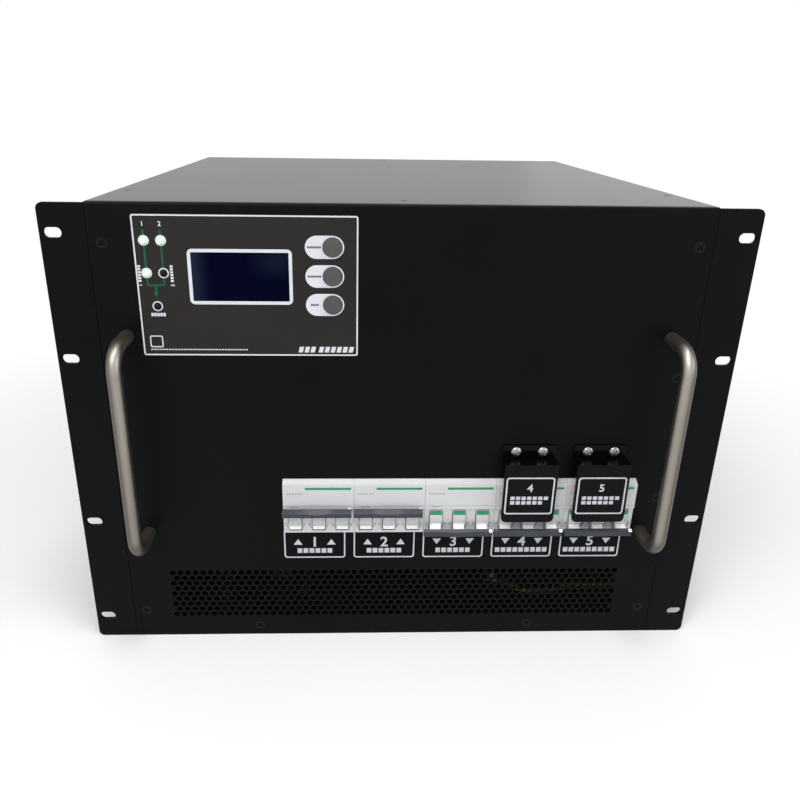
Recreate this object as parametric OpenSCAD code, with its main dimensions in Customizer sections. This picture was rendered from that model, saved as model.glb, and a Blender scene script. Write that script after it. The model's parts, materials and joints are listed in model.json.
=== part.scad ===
// Rack static transfer switch: an eight unit chassis for a 19 inch rack.
// It holds five three-pole breakers, two sets of thyristor modules and a display.
// Millimetres. +X is right, +Y is to the rear, +Z is up. The origin is under the middle of the chassis.

/* [Chassis] */
// Rack units of height
units = 8; // [8:1:10]
// Width over the side walls
body_w = 421.2; // [415:0.1:440]
// Front panel face to rear panel face
depth = 400; // [390:5:600]
// Sheet of the tray and the rear panel
wall = 1.5; // [1.2:0.1:2]
// Sheet of the top cover
cover_t = 1.2; // [1:0.1:2]
// Sheet of the front panel
panel_t = 2; // [1.5:0.1:3]
// Width of the turned-in flanges of the tray
flange = 18; // [16:1:20]

/* [Rack ears] */
// Width over both ears
rack_w = 482.6; // [480:0.1:484]
// Outer edge of an ear to the middle of its slots
slot_inset = 8.75; // [8.5:0.05:9.5]
// Rack units between the outer slots of an ear
outer_units = 7; // [7:1:7]
// Rack units between the inner slots of an ear
inner_units = 3; // [1:1:5]
// Length of a rack slot
slot_len = 12; // [9:0.5:13]
// Height of a rack slot
slot_h = 7; // [6:0.1:7.5]
// Thickness of an ear
ear_t = 2.5; // [2:0.1:4]
// Length of the ear's flange along the side wall
ear_reach = 45; // [35:1:70]
// Radius of the ear's outer corners
ear_r = 4.5; // [3:0.5:10]

/* [Handles] */
// Side wall to the middle of a handle
handle_in = 19.1; // [17:0.1:24]
// Height of the middle of the handles
handle_z = 179; // [150:1:230]
// Distance between the two feet
handle_span = 160; // [110:1:180]
// Rod diameter
handle_d = 10; // [7:0.5:12]
// Reach of the rod's centre line from the panel
handle_out = 32; // [28:1:55]
// Radius of the rod's bends
handle_r = 16; // [13:1:24]

/* [Display] */
// Left side wall to the edge of the display overlay
display_in = 29.6; // [25:0.1:38]
// Middle of the display overlay, up
display_z = 294.5; // [285:0.5:296]
// Width of the overlay
display_w = 150; // [146:1:160]
// Height of the overlay
display_h = 99; // [90:1:100]
// Thickness of the overlay film
film_t = 0.5; // [0.3:0.1:0.8]
// Width of the screen window
screen_w = 65.2; // [56:0.2:70]
// Height of the screen window
screen_h = 33.6; // [26:0.2:38]
// Diameter of a key
key_d = 12.8; // [9:0.2:14]
// Distance between two keys
key_pitch = 20; // [18:0.5:22]
// Height of a key above the overlay
key_rise = 1.4; // [0.6:0.1:2.5]
// How far a key is pressed
key_travel = 0.8; // [0.3:0.1:0.8]
// Diameter of a status lamp
lamp_d = 5; // [3:0.5:6]

/* [Breakers] */
// Right side wall to the end of the row of breakers
row_in = 28.1; // [24:0.1:36]
// Middle of the row of breakers, up
row_z = 123.1; // [118:0.5:135]
// Width of one pole
pole_w = 18; // [17.5:0.1:18]
// Height of the breaker's nose
nose_h = 45.4; // [44:0.1:46]
// How far the nose stands out of the panel
nose_out = 5; // [3:0.5:8]
// Height of a breaker's body
breaker_h = 85; // [80:1:95]
// Face of the nose to the seat on the rail
breaker_d = 65; // [58:1:75]
// Radius of a lever's drum
drum_r = 10.4; // [9:0.1:10.6]
// Width of a lever
lever_w = 9.6; // [7:0.1:10.5]
// Angle of a lever above or below the middle
lever_angle = 32; // [20:1:33]
// Width of the tie bar over the three levers
tie_w = 52.3; // [44:0.1:53]
// Offset of a tie bar from the middle of its breaker
tie_shift = -1.2; // [-1.5:0.1:1.5]

/* [Guards] */
// Width of a guard
guard_w = 40; // [34:0.5:50]
// Face of a guard in front of the panel
guard_out = 13; // [12:0.5:20]
// Sheet of a guard
guard_t = 1.5; // [1:0.1:1.5]
// Height of the guard's shelf
guard_z = 164.5; // [163:0.5:175]
// Length of the guard's face
guard_drop = 49; // [30:0.5:49]
// Height of the guard's fixing flange
guard_tab = 10.2; // [9:0.2:14]
// Distance between the two screws of a guard
guard_screw_span = 20; // [14:0.5:24]
// Offset of a guard from the middle of its breaker
guard_shift = -3.8; // [-5:0.1:4]

/* [Vent] */
// Rows of holes
vent_rows = 9; // [3:2:9]
// Holes in a long row
vent_cols = 60; // [20:1:62]
// Distance between holes in a row
vent_pitch = 6; // [5.5:0.1:6]
// Distance between rows
vent_rise = 5; // [4.8:0.1:5.2]
// Width of a hole over its flats
vent_hole = 4.2; // [3:0.1:4.4]
// Height of the lowest row
vent_z = 20.8; // [20:0.2:24]

/* [Cooling] */
// Side of a fan's frame
fan_w = 120; // [92:1:125]
// Depth of a fan's frame
fan_t = 25; // [22:1:38]
// Gap between two fans
fan_gap = 8; // [6:0.5:12]
// Height of the middle of the fans
fan_z = 82; // [74:1:95]
// Blades of a rotor
fan_blades = 7; // [5:1:9]
// Length of a heatsink
sink_l = 200; // [190:5:220]
// Width of a heatsink
sink_w = 158; // [140:1:166]
// Height of a heatsink
sink_h = 76; // [60:1:85]
// Fins of a heatsink
sink_fins = 18; // [8:1:22]

/* [Hidden] */
$fn = 48;

// Common clearances
seam = 0.3;      // between two plates that lie side by side
slip = 0.35;     // around a piece that moves
bite = 0.05;     // between a screw and its hole

// Chassis
rack_unit = 44.45;
ear_h = units * rack_unit - 4.9;
body_h = ear_h + 0.6;
top_z = body_h - cover_t;
front_y = -depth / 2;
rear_y = depth / 2;
back_y = front_y + panel_t;      // rear face of the front panel
edge_l = 5;                      // front panel's strip along the cover
bend_r = 1.8;                    // and the radius of its bend
inner_x = body_w / 2 - wall;
bay_y = rear_y - wall;           // inner face of the rear panel

// What is placed from the side walls
slot_span = rack_w - 2 * slot_inset;
handle_x = body_w / 2 - handle_in;
display_x = display_w / 2 + display_in - body_w / 2;
row_x = body_w / 2 - row_in - 7.5 * pole_w;
fan_pitch = fan_w + fan_gap;

// Screws: radius of the shank and of the head
m3 = [1.5, 2.8];
m4 = [2, 3.9];
m5 = [2.5, 4.5];
panel_screw_x = body_w / 2 - 9.6;
panel_screw_z = [25, 128.7, 228.6, body_h - 26.9];
rear_screw_z = [panel_screw_z[2], panel_screw_z[3]];
lip_screw_x = 110;
lip_screw_z = 9;
cover_screw_x = body_w / 2 - 9.1;
cover_screw_y = [front_y + 63, rear_y - 25];
cover_mid_y = [front_y + 20, rear_y - 20];
return_w = 30;                   // return flange of the front and rear panels
ear_screw_z = [for (i = [0:3]) 30 + i * (ear_h - 60) / 3];
ear_screw_y = front_y + ear_reach - 12;

// Display, measured from the middle of the overlay
screen_at = [-4.8, 7.3];
key_at = [57.4, 8.1];
lamp_cols = [-67.5, -56.2];
lamp_rows = [31.85, 9.75];
fault_lamp = [-62.2, -13.4];
lit_lamps = [[lamp_cols[0], lamp_rows[0]], [lamp_cols[1], lamp_rows[0]], [lamp_cols[0], lamp_rows[1]]];
unlit_lamps = [[lamp_cols[1], lamp_rows[1]], fault_lamp];
board_y = back_y + 14;           // front face of the display board
board_t = 1.6;
lcd_y = back_y + 7;              // front face of the screen's own board
lcd_margin = [9, 8];
switch_h = 5;
pillar_r = 2.6;

// Breakers
poles = 3;
breakers = 5;
breaker_w = poles * pole_w;
row_w = breakers * breaker_w;
nose_y = front_y - nose_out;
face_low_y = nose_y + 1.5;       // lower half of the nose's face
shoulder_y = front_y + 18;
seat_y = nose_y + breaker_d;     // the breaker's seat on the rail
claw = 5;                        // depth of the claws that hold the rail
pivot_y = nose_y + 10;
pivot_z = row_z - 10.8;
tie_in = 14.8;                   // tie bar, from the pivot
tie_out = 19.4;
tie_half = 3.3;
lip_r = 12.6;                    // reach of the lip beside a lever
function breaker_x(i) = row_x + (i - 3) * breaker_w;
function pole_x(i, p) = breaker_x(i) + (p - 1) * pole_w;
rest_angles = [lever_angle, lever_angle, -lever_angle, -lever_angle, -lever_angle];

// Rail
rail_h = 35;
rail_t = 1;
rail_deep = 7.5;
rail_over = 22;                  // rail beyond the row at each end
bracket_w = 20;

// Cooling
grille_t = 1.2;
fan_bore = fan_w / 2 - 3;
fan_hole = fan_w / 2 - 7.5;
hub_r = 20;
shaft_r = 2;
sink_x = inner_x / 2 - 3.55;     // a heatsink fills one half of the floor
sink_y = front_y + 112;
fin_t = 1.8;
sink_base = 10;
leg_t = 5;
foot_w = 10;
fin_low = 14;                    // fins' lower edge above the feet
module_l = 94;
module_w = 34;
module_h = 30;
module_pitch = 62;
module_base = 7;                 // thickness of a module's metal base
module_lug = [-29, 0, 29];       // the three terminals of a module
lug_t = 2;
bar_w = 16;
bar_t = 3;
lug_top = sink_h + wall + module_h + lug_t;
function module_y(i) = sink_y + sink_l / 2 + (i - 1) * module_pitch;
ct_w = 30;                       // current transformer
ct_l = 46;
ct_h = 40;

// Control board on the left wall and supply on the right wall
control_y = 20;
control_z = 240;
control_l = 180;
control_h = 130;
control_gap = 12;
supply_z = [210, 300];
supply_y = 60;
supply_d = 38;

// Rear terminals and wires
term_z = 215;
term_h = 44;
term_d = 34;
term_x = row_x - breaker_w;
term_w = 3 * breaker_w;
ways = 9;
wire_r = 3;
wire_y = shoulder_y + 22;        // where the wires enter the breakers

// Earth bar behind the vent, and the earth studs on the floor and on the right wall
earth_x = 100 - body_w / 2;
earth_y = front_y + 42;
earth_z = 34;
earth_pitch = 14;
earth_r = 2.4;
floor_stud = [row_x + 46, front_y + 64];
wall_stud = [front_y + 48, 34];
stud_h = 1.2;                    // washer, which the lug lies on
lug_l = 17;
lug_gap = 0.4;                   // end of a wire to its lug

// ---------------------------------------------------------------- shapes

// A plate standing upright: its outline is drawn in X and Z, and it fills y to y + t
module plate(y, t) {
    translate([0, y + t, 0]) rotate([90, 0, 0]) linear_extrude(t) children();
}

// A rod along Y from y0 to y1
module rod(x, y0, y1, z, r, r2 = -1) {
    translate([x, y0, z]) rotate([-90, 0, 0]) cylinder(h = y1 - y0, r1 = r, r2 = r2 < 0 ? r : r2);
}

// A box from one corner to the other
module block(a, b) {
    translate(a) cube(b - a);
}

// A rectangle with round corners, from its middle
module round_rect(w, h, r) {
    square([w - 2 * r, h], center = true);
    square([w, h - 2 * r], center = true);
    for (x = [-1, 1], z = [-1, 1]) translate([x * (w / 2 - r), z * (h / 2 - r)]) circle(r);
}

// A slot that lies along X
module slot(len, h) {
    square([len - h, h], center = true);
    for (s = [-1, 1]) translate([s * (len - h) / 2, 0]) circle(d = h);
}

// A countersunk screw whose head is flush at z = 0 and whose shank points down
module flush_screw(m, len) {
    difference() {
        union() {
            translate([0, 0, -(m[1] - m[0])]) cylinder(h = m[1] - m[0], r1 = m[0], r2 = m[1]);
            translate([0, 0, -len]) cylinder(h = len - (m[1] - m[0]), r = m[0]);
        }
        cross_recess(m);
    }
}

// The cross that a screwdriver fits, cut down from z = 0
module cross_recess(m) {
    for (a = [45, 135]) rotate(a) cube([m[1] * 1.15, m[0] * 0.5, m[0] * 1.3], center = true);
}

// The hole that such a screw sits in
module flush_hole(m, len) {
    sink = m[1] - m[0];
    translate([0, 0, -sink]) cylinder(h = sink + 0.01, r1 = m[0] + bite, r2 = m[1] + bite);
    translate([0, 0, -len - 1]) cylinder(h = len + 1, r = m[0] + bite);
}

// A domed pan head screw whose head stands on z = 0 and whose shank points down
module pan_screw(m, len) {
    head_h = m[0] * 1.25;
    dome_r = m[1] * 1.45;
    difference() {
        intersection() {
            cylinder(h = head_h, r = m[1]);
            translate([0, 0, head_h - dome_r]) sphere(dome_r);
        }
        translate([0, 0, head_h]) cross_recess(m);
    }
    translate([0, 0, -len]) cylinder(h = len, r = m[0]);
}

// Turns +Z to -Y, for what enters the front panel
module facing_front() rotate([90, 0, 0]) children();

// ---------------------------------------------------------------- wires

function unit3(v) = v / norm(v);
// Points on a smooth curve through the route, n to a span
function curve_at(p, i, t) =
    let (last = len(p) - 1, a = p[max(i - 1, 0)], b = p[i], c = p[i + 1], d = p[min(i + 2, last)])
    0.5 * (2 * b + t * (c - a) + t * t * (2 * a - 5 * b + 4 * c - d) + t * t * t * (3 * b - a - 3 * c + d));
function smooth(p, n) = [for (i = [0:len(p) - 2], k = [0:n - 1]) curve_at(p, i, k / n), p[len(p) - 1]];

// A round wire along a route that never runs along the side direction
module wire(route, r, n = 2, sides = 8, side = [1, 0, 0]) {
    pts = smooth(route, n);
    last = len(pts) - 1;
    rings = [for (i = [0:last]) let (
        t = unit3(pts[min(i + 1, last)] - pts[max(i - 1, 0)]),
        u = unit3(cross(t, side)),
        v = cross(t, u))
        for (k = [0:sides - 1]) pts[i] + r * (cos(360 * k / sides) * u + sin(360 * k / sides) * v)];
    walls = [for (i = [0:last - 1], k = [0:sides - 1]) let (
        a = i * sides + k, b = i * sides + (k + 1) % sides)
        [a, a + sides, b + sides, b]];
    ends = [[for (k = [0:sides - 1]) k], [for (k = [sides - 1:-1:0]) last * sides + k]];
    polyhedron(rings, concat(walls, ends), convexity = 6);
}

// ---------------------------------------------------------------- chassis

module cover_screw_places() {
    for (x = [-1, 1], y = cover_screw_y) translate([x * cover_screw_x, y, body_h]) children();
    for (y = cover_mid_y) translate([0, y, body_h]) children();
}

module panel_screw_places() {
    for (x = [-1, 1], z = panel_screw_z)
        translate([x * panel_screw_x, front_y, z]) facing_front() children();
    for (x = [-1, 1]) translate([x * lip_screw_x, front_y, lip_screw_z]) facing_front() children();
}

module rear_screw_places() {
    for (x = [-1, 1], z = rear_screw_z)
        translate([x * panel_screw_x, rear_y, z]) rotate([-90, 0, 0]) children();
    for (x = [-1, 1]) translate([x * lip_screw_x, rear_y, lip_screw_z]) rotate([-90, 0, 0]) children();
}

module ear_screw_places() {
    for (s = [-1, 1], z = ear_screw_z)
        translate([s * (body_w / 2 + ear_t), ear_screw_y, z]) rotate([0, s * 90, 0]) children();
}

// Folded steel tray: floor, side walls and turned-in flanges
module base_tray() color([0.09, 0.09, 0.1]) difference() {
    union() {
        block([-body_w / 2, back_y, 0], [body_w / 2, bay_y, wall]);
        for (s = [0, 1]) mirror([s, 0, 0]) {
            block([inner_x, back_y, 0], [body_w / 2, bay_y, top_z]);
            block([body_w / 2 - flange, back_y, top_z - wall], [body_w / 2, bay_y, top_z]);
            block([body_w / 2 - flange, back_y, 0], [body_w / 2, back_y + wall, top_z]);
            block([body_w / 2 - flange, bay_y - wall, 0], [body_w / 2, bay_y, top_z]);
        }
        block([-body_w / 2, back_y, 0], [body_w / 2, back_y + wall, flange - 2]);
        block([-body_w / 2, bay_y - wall, 0], [body_w / 2, bay_y, flange - 2]);
    }
    // the rear flanges are cut away around the fans
    plate(bay_y - 2 * wall, 2 * wall) fan_places() square(fan_w + 2, center = true);
    cover_screw_places() flush_hole(m3, 10);
    panel_screw_places() flush_hole(m4, 10);
    rear_screw_places() flush_hole(m3, 10);
    ear_screw_places() flush_hole(m4, 12);
    handle_places() rod(0, back_y - 1, back_y + wall + 1, 0, m5[1] + 1);
}

// Powder coated front panel with its window, vent and holes
module front_panel() color([0.08, 0.08, 0.09]) difference() {
    union() {
        plate(front_y, panel_t) difference() {
            translate([-body_w / 2 + seam, 0]) square([body_w - 2 * seam, body_h]);
            breaker_window();
            vent_holes();
            display_cutouts();
        }
        block([-body_w / 2 + flange + 3, front_y, top_z - wall],
              [body_w / 2 - flange - 3, front_y + return_w, top_z]);
        block([-body_w / 2 + seam, front_y, top_z], [body_w / 2 - seam, front_y + edge_l, body_h]);
    }
    top_bend();
    panel_screw_places() flush_hole(m4, 10);
    cover_screw_places() flush_hole(m3, 10);
    handle_places() rod(0, front_y - 1, back_y + 1, 0, m5[0] + bite);
    guard_screw_places() rod(0, front_y - 1, back_y + 1, 0, m4[0] + bite);
}

// Takes the corner off the upper front edge, to the radius of the bend
module top_bend() difference() {
    block([-body_w, front_y - 1, body_h - bend_r], [body_w, front_y + bend_r, body_h + 1]);
    translate([0, front_y + bend_r, body_h - bend_r]) rotate([0, 90, 0])
        cylinder(h = 3 * body_w, r = bend_r, center = true);
}

module breaker_window() {
    translate([row_x, row_z]) square([row_w + 1, nose_h + 0.8], center = true);
}

// Staggered rows of six-sided holes, the odd rows one hole longer
module vent_holes() {
    for (row = [0:vent_rows - 1]) let (n = vent_cols - row % 2)
        for (i = [0:n - 1])
            translate([(i - (n - 1) / 2) * vent_pitch, vent_z + row * vent_rise])
                rotate(30) circle(d = vent_hole / cos(30), $fn = 6);
}

module at_display() {
    translate([display_x, display_z]) children();
}

module display_cutouts() at_display() {
    translate(screen_at) square([screen_w + 1, screen_h + 1], center = true);
    for (p = concat(lit_lamps, unlit_lamps)) translate(p) circle(d = lamp_d + 0.6);
    for (i = [-1:1]) translate(key_at + [0, i * key_pitch]) circle(d = key_d + 2 * slip);
}

// A rack ear: an angle with four slots, for the right side
module rack_ear() difference() {
    x0 = body_w / 2;
    union() {
        plate(front_y, ear_t) {
            translate([x0, 0]) square([rack_w / 2 - ear_r - x0, ear_h]);
            translate([x0, ear_r]) square([rack_w / 2 - x0, ear_h - 2 * ear_r]);
            for (z = [ear_r, ear_h - ear_r]) translate([rack_w / 2 - ear_r, z]) circle(ear_r);
        }
        block([x0, front_y, 0], [x0 + ear_t, front_y + ear_reach, top_z]);
    }
    plate(front_y - 1, ear_t + 2)
        for (u = [outer_units, inner_units], s = [-1, 1])
            translate([slot_span / 2, ear_h / 2 + s * u * rack_unit / 2]) slot(slot_len, slot_h);
    ear_screw_places() flush_hole(m4, 12);
}

module rack_ear_right() color([0.08, 0.08, 0.09]) rack_ear();
module rack_ear_left() color([0.08, 0.08, 0.09]) mirror([1, 0, 0]) rack_ear();

// Flat top cover, screwed to the flanges below it
module top_cover() color([0.1, 0.1, 0.11]) difference() {
    block([-body_w / 2 + seam, front_y + edge_l + seam, top_z], [body_w / 2 - seam, rear_y, body_h]);
    cover_screw_places() flush_hole(m3, 10);
}

// Rear panel with fan openings and the terminal window
module rear_panel() color([0.09, 0.09, 0.1]) difference() {
    union() {
        plate(bay_y, wall) difference() {
            translate([-body_w / 2 + seam, 0]) square([body_w - 2 * seam, top_z]);
            fan_places() circle(fan_bore);
            fan_places() fan_holes(m4[0] + bite);
            translate([term_x, term_z]) square([term_w + 1, term_h + 1], center = true);
        }
        block([-body_w / 2 + flange + 3, rear_y - return_w, top_z - wall],
              [body_w / 2 - flange - 3, rear_y, top_z]);
    }
    cover_screw_places() flush_hole(m3, 10);
    rear_screw_places() flush_hole(m3, 10);
    term_screw_places() rod(0, bay_y - 1, rear_y + 1, 0, m4[0] + bite);
}

module panel_screws() color([0.12, 0.12, 0.12]) panel_screw_places() flush_screw(m4, panel_t + wall + 2.5);
module ear_screws() color([0.12, 0.12, 0.12]) ear_screw_places() flush_screw(m4, ear_t + wall + 2.5);
module cover_screws() color([0.12, 0.12, 0.12]) cover_screw_places() flush_screw(m3, cover_t + wall + 2);

// Screws of the rear: the panel's own, the fans' and the terminal block's
module rear_screws() color([0.12, 0.12, 0.12]) {
    rear_screw_places() flush_screw(m3, wall * 2 + 2);
    fan_screw_places() pan_screw(m4, grille_t + wall + fan_t + 1);
    term_screw_places() translate([0, rear_y, 0]) rotate([-90, 0, 0]) pan_screw(m4, wall + 8);
}

// ---------------------------------------------------------------- handles

module handle_places() {
    for (x = [-1, 1], z = [-1, 1])
        translate([x * handle_x, 0, handle_z + z * handle_span / 2]) children();
}

// A bent rod handle: two feet, two quarter bends and a grip
module handle() {
    r = handle_d / 2;
    grip_y = front_y - handle_out;
    difference() {
        union() {
            for (s = [0, 1]) translate([0, 0, handle_z]) mirror([0, 0, s])
                translate([0, 0, handle_span / 2]) {
                    rod(0, grip_y + handle_r, front_y, 0, r);
                    translate([0, grip_y + handle_r, -handle_r]) rotate([0, -90, 0])
                        rotate_extrude_corner(r);
                }
            translate([0, grip_y, handle_z - handle_span / 2 + handle_r])
                cylinder(h = handle_span - 2 * handle_r, r = r);
        }
        for (s = [-1, 1]) rod(0, front_y - 12, front_y + 1, handle_z + s * handle_span / 2, m5[0] + bite);
    }
}

// A quarter of a ring, from +X to -Y
module rotate_extrude_corner(r) {
    rotate([0, 0, -90]) rotate_extrude(angle = 90) translate([handle_r, 0]) circle(r);
}

module handle_left() color([0.6, 0.58, 0.54]) translate([-handle_x, 0, 0]) handle();
module handle_right() color([0.6, 0.58, 0.54]) translate([handle_x, 0, 0]) handle();

module handle_screws() color([0.5, 0.5, 0.5]) handle_places()
    translate([0, back_y, 0]) rotate([-90, 0, 0]) pan_screw(m5, panel_t + 10);

// ---------------------------------------------------------------- display

// Printed film over the display opening
module display_overlay() color([0.22, 0.21, 0.2])
    plate(front_y - film_t, film_t) at_display() difference() {
        round_rect(display_w, display_h, 3);
        translate(screen_at) square([screen_w, screen_h], center = true);
        for (p = concat(lit_lamps, unlit_lamps)) translate(p) circle(d = lamp_d + 0.3);
        for (i = [-1:1]) translate(key_at + [0, i * key_pitch]) circle(d = key_d + 2 * slip);
    }

// Screen: its glass in the panel's opening, and the board behind it
module lcd_module() color([0.03, 0.03, 0.12]) {
    plate(front_y - film_t + 0.1, lcd_y - front_y + film_t - 0.1) at_display() translate(screen_at)
        square([screen_w - 0.4, screen_h - 0.4], center = true);
    plate(lcd_y, board_t) at_display() translate(screen_at)
        square([screen_w + 2 * lcd_margin[0], screen_h + 2 * lcd_margin[1]], center = true);
}

// Board behind the display, with its connectors
module display_board() color([0.1, 0.35, 0.18]) {
    plate(board_y, board_t) at_display() round_rect(display_w - 6, display_h - 8, 2);
    plate(board_y + board_t, 9) at_display() {
        translate([-20, -30]) square([36, 9], center = true);
        translate([30, -30]) square([20, 9], center = true);
    }
    plate(board_y + board_t, 3) at_display() translate([0, 5]) square([22, 22], center = true);
}

module display_pillar_places() {
    for (x = [-1, 1], z = [-1, 1])
        translate([display_x + x * (display_w / 2 - 8), 0, display_z + z * (display_h / 2 - 9)]) children();
}

module lcd_pillar_places() {
    for (x = [-1, 1], z = [-1, 1])
        translate([display_x + screen_at[0] + x * (screen_w / 2 + lcd_margin[0] - 4), 0,
                   display_z + screen_at[1] + z * (screen_h / 2 + lcd_margin[1] - 4)]) children();
}

// Spacers of the display board, the screen and the control board
module board_pillars() color([0.75, 0.7, 0.5]) {
    display_pillar_places() rod(0, back_y, board_y, 0, pillar_r);
    lcd_pillar_places() rod(0, back_y, lcd_y, 0, pillar_r);
    lcd_pillar_places() rod(0, lcd_y + board_t, board_y, 0, pillar_r);
    for (y = [-1, 1], z = [-1, 1])
        translate([-inner_x, control_y + y * (control_l / 2 - 6), control_z + z * (control_h / 2 - 6)])
            rotate([0, 90, 0]) cylinder(h = control_gap, r = pillar_r);
}

// A lamp with a round lens, on its spacer on the display board
module lamp(p) translate([display_x + p[0], 0, display_z + p[1]]) {
    lens_y = front_y - film_t;
    rod(0, lens_y, board_y, 0, lamp_d / 2);
    intersection() {
        translate([0, lens_y, 0]) sphere(d = lamp_d);
        rod(0, lens_y - lamp_d / 2, lens_y, 0, lamp_d / 2 + 1);
    }
}

module lamps_lit() color([0.75, 1, 0.75]) for (p = lit_lamps) lamp(p);
module lamps_unlit() color([0.25, 0.25, 0.25]) for (p = unlit_lamps) lamp(p);

// A round key: its cap, the collar behind the panel and the stem to the switch
module key(i) translate([display_x + key_at[0], 0, display_z + key_at[1] + i * key_pitch]) {
    collar_y = back_y + 0.1;
    rod(0, front_y - film_t - key_rise, collar_y, 0, key_d / 2);
    rod(0, collar_y, collar_y + 1.2, 0, key_d / 2 + 1.2);
    rod(0, collar_y + 1.2, board_y - switch_h - key_travel - 0.1, 0, 2);
}

module key_top() color([0.16, 0.16, 0.17]) key(1);
module key_middle() color([0.16, 0.16, 0.17]) key(0);
module key_bottom() color([0.16, 0.16, 0.17]) key(-1);

module key_switches() color([0.1, 0.1, 0.1]) for (i = [-1:1])
    translate([display_x + key_at[0], 0, display_z + key_at[1] + i * key_pitch]) {
        block([-3, board_y - switch_h + 1.5, -3], [3, board_y, 3]);
        rod(0, board_y - switch_h, board_y - switch_h + 1.5, 0, 1.75);
    }

// ---------------------------------------------------------------- breakers

// Side outline of a breaker, in Y and Z, with the middle of its nose at z = 0
function breaker_side() = let (h = nose_h / 2, b = breaker_h / 2, r = rail_h / 2 + 0.2, e = seat_y + claw)
    [[nose_y, h - 2.6], [nose_y, -0.9], [face_low_y - 0.2, -1.7], [face_low_y + 0.3, -h],
     [shoulder_y, -h], [shoulder_y, -b], [e, -b],
     [e, 1.4 - r], [seat_y + 1.2, 1.4 - r], [seat_y + 1.2, -r], [seat_y, -r],
     [seat_y, r], [seat_y + 1.2, r], [seat_y + 1.2, r - 1.4], [e, r - 1.4],
     [e, b], [shoulder_y, b], [shoulder_y, h], [front_y, h]];

// Extrudes a side outline along X, from its middle
module side_extrude(w) {
    translate([-w / 2, 0, 0]) rotate([90, 0, 90]) linear_extrude(w) children();
}

module breaker(i) translate([breaker_x(i), 0, row_z]) difference() {
    side_extrude(breaker_w - 0.2) polygon(breaker_side());
    for (p = [-1:1]) translate([p * pole_w, 0, 0]) {
        // the lever's drum turns in this hollow
        translate([0, pivot_y, pivot_z - row_z]) rotate([0, 90, 0])
            cylinder(h = lever_w + 2 * slip, r = drum_r + slip, center = true);
        // and its lip in this wider one, in the lower half of the case
        translate([0, pivot_y, pivot_z - row_z]) rotate([0, 90, 0]) intersection() {
            cylinder(h = lever_w + 2 * slip, r = lip_r + slip, center = true);
            translate([5, -lip_r - 1, -lever_w]) cube([lip_r, 2 * lip_r + 2, 2 * lever_w]);
        }
        // pocket around the lever, with a finger scoop on either side of its lower end
        plate(nose_y - 1, face_low_y - nose_y + 2.2)
            polygon([[-5.4, -3.4], [-4.4, -2.2], [4.4, -2.2], [5.4, -3.4], [5.4, -13.6], [8.2, -14.4],
                     [5.4, -19.2], [-5.4, -19.2], [-8.2, -14.4], [-5.4, -13.6]]);
        // screw wells above and below the nose, and the cable mouths behind them
        for (s = [-1, 1]) {
            rod(0, shoulder_y - 1, shoulder_y + 14, s * (breaker_h / 2 - 9), 3.6);
            translate([0, wire_y, s * (breaker_h / 2 - 6)]) cylinder(h = 12.2, r = 4.2, center = true);
        }
    }
    // seams between the three poles
    for (s = [-1, 1]) block([s * pole_w / 2 - 0.15, shoulder_y - 0.4, -breaker_h],
                            [s * pole_w / 2 + 0.15, shoulder_y + 0.6, breaker_h]);
    // grooves over the top of the nose
    for (y = [0.9, 2.2, 3.5]) translate([-breaker_w, front_y - y, nose_h / 2 - y * 0.52])
        rotate([-27.5, 0, 0]) translate([0, -0.2, -0.3]) cube([2 * breaker_w, 0.4, 1]);
}

module breaker_1() color([0.84, 0.84, 0.86]) breaker(1);
module breaker_2() color([0.84, 0.84, 0.86]) breaker(2);
module breaker_3() color([0.84, 0.84, 0.86]) breaker(3);
module breaker_4() color([0.84, 0.84, 0.86]) breaker(4);
module breaker_5() color([0.84, 0.84, 0.86]) breaker(5);

// Moves to the pivot of a breaker's levers and turns to their rest angle; -Y points outward
module at_levers(i) {
    translate([breaker_x(i), pivot_y, pivot_z]) rotate([-rest_angles[i - 1], 0, 0]) children();
}

// Three levers: drums with an arm each, out to the tie bar
module levers(i) at_levers(i) for (p = [-1:1]) translate([p * pole_w, 0, 0]) {
    rotate([0, 90, 0]) cylinder(h = lever_w, r = drum_r, center = true);
    block([1 - lever_w / 2, -tie_in, -2.6], [lever_w / 2 - 1, 0, 2.6]);
    rotate([lever_angle, 0, 0]) side_extrude(lever_w - 0.6)
        polygon([[-7.6, -5.4], [-9.9, -5.3], [-9.9, -7.6], [-9.4, -8.3], [-6.9, -7.4]]);
}

module levers_1() color([0.86, 0.87, 0.87]) levers(1);
module levers_2() color([0.86, 0.87, 0.87]) levers(2);
module levers_3() color([0.86, 0.87, 0.87]) levers(3);
module levers_4() color([0.86, 0.87, 0.87]) levers(4);
module levers_5() color([0.86, 0.87, 0.87]) levers(5);

// Tie bar over three levers, with a shallow finger hollow at each lever on its upper side
module tie_bar(i) at_levers(i) difference() {
    translate([tie_shift, 0, 0]) side_extrude(tie_w)
        polygon([[-tie_in, tie_half + 0.1], [-tie_out + 0.6, tie_half + 0.1], [-tie_out, tie_half - 0.6],
                 [-tie_out, 1 - tie_half], [-tie_out + 0.6, -tie_half], [-tie_in, -tie_half]]);
    for (p = [-1:1]) translate([p * pole_w, -tie_in + 1.2, tie_half + 8.4])
        rotate([90, 0, 0]) cylinder(h = 10, r = 9, $fn = 64);
}

module tie_bar_1() color([0.22, 0.26, 0.32]) tie_bar(1);
module tie_bar_2() color([0.22, 0.26, 0.32]) tie_bar(2);
module tie_bar_3() color([0.22, 0.26, 0.32]) tie_bar(3);
module tie_bar_4() color([0.22, 0.26, 0.32]) tie_bar(4);
module tie_bar_5() color([0.22, 0.26, 0.32]) tie_bar(5);

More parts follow.
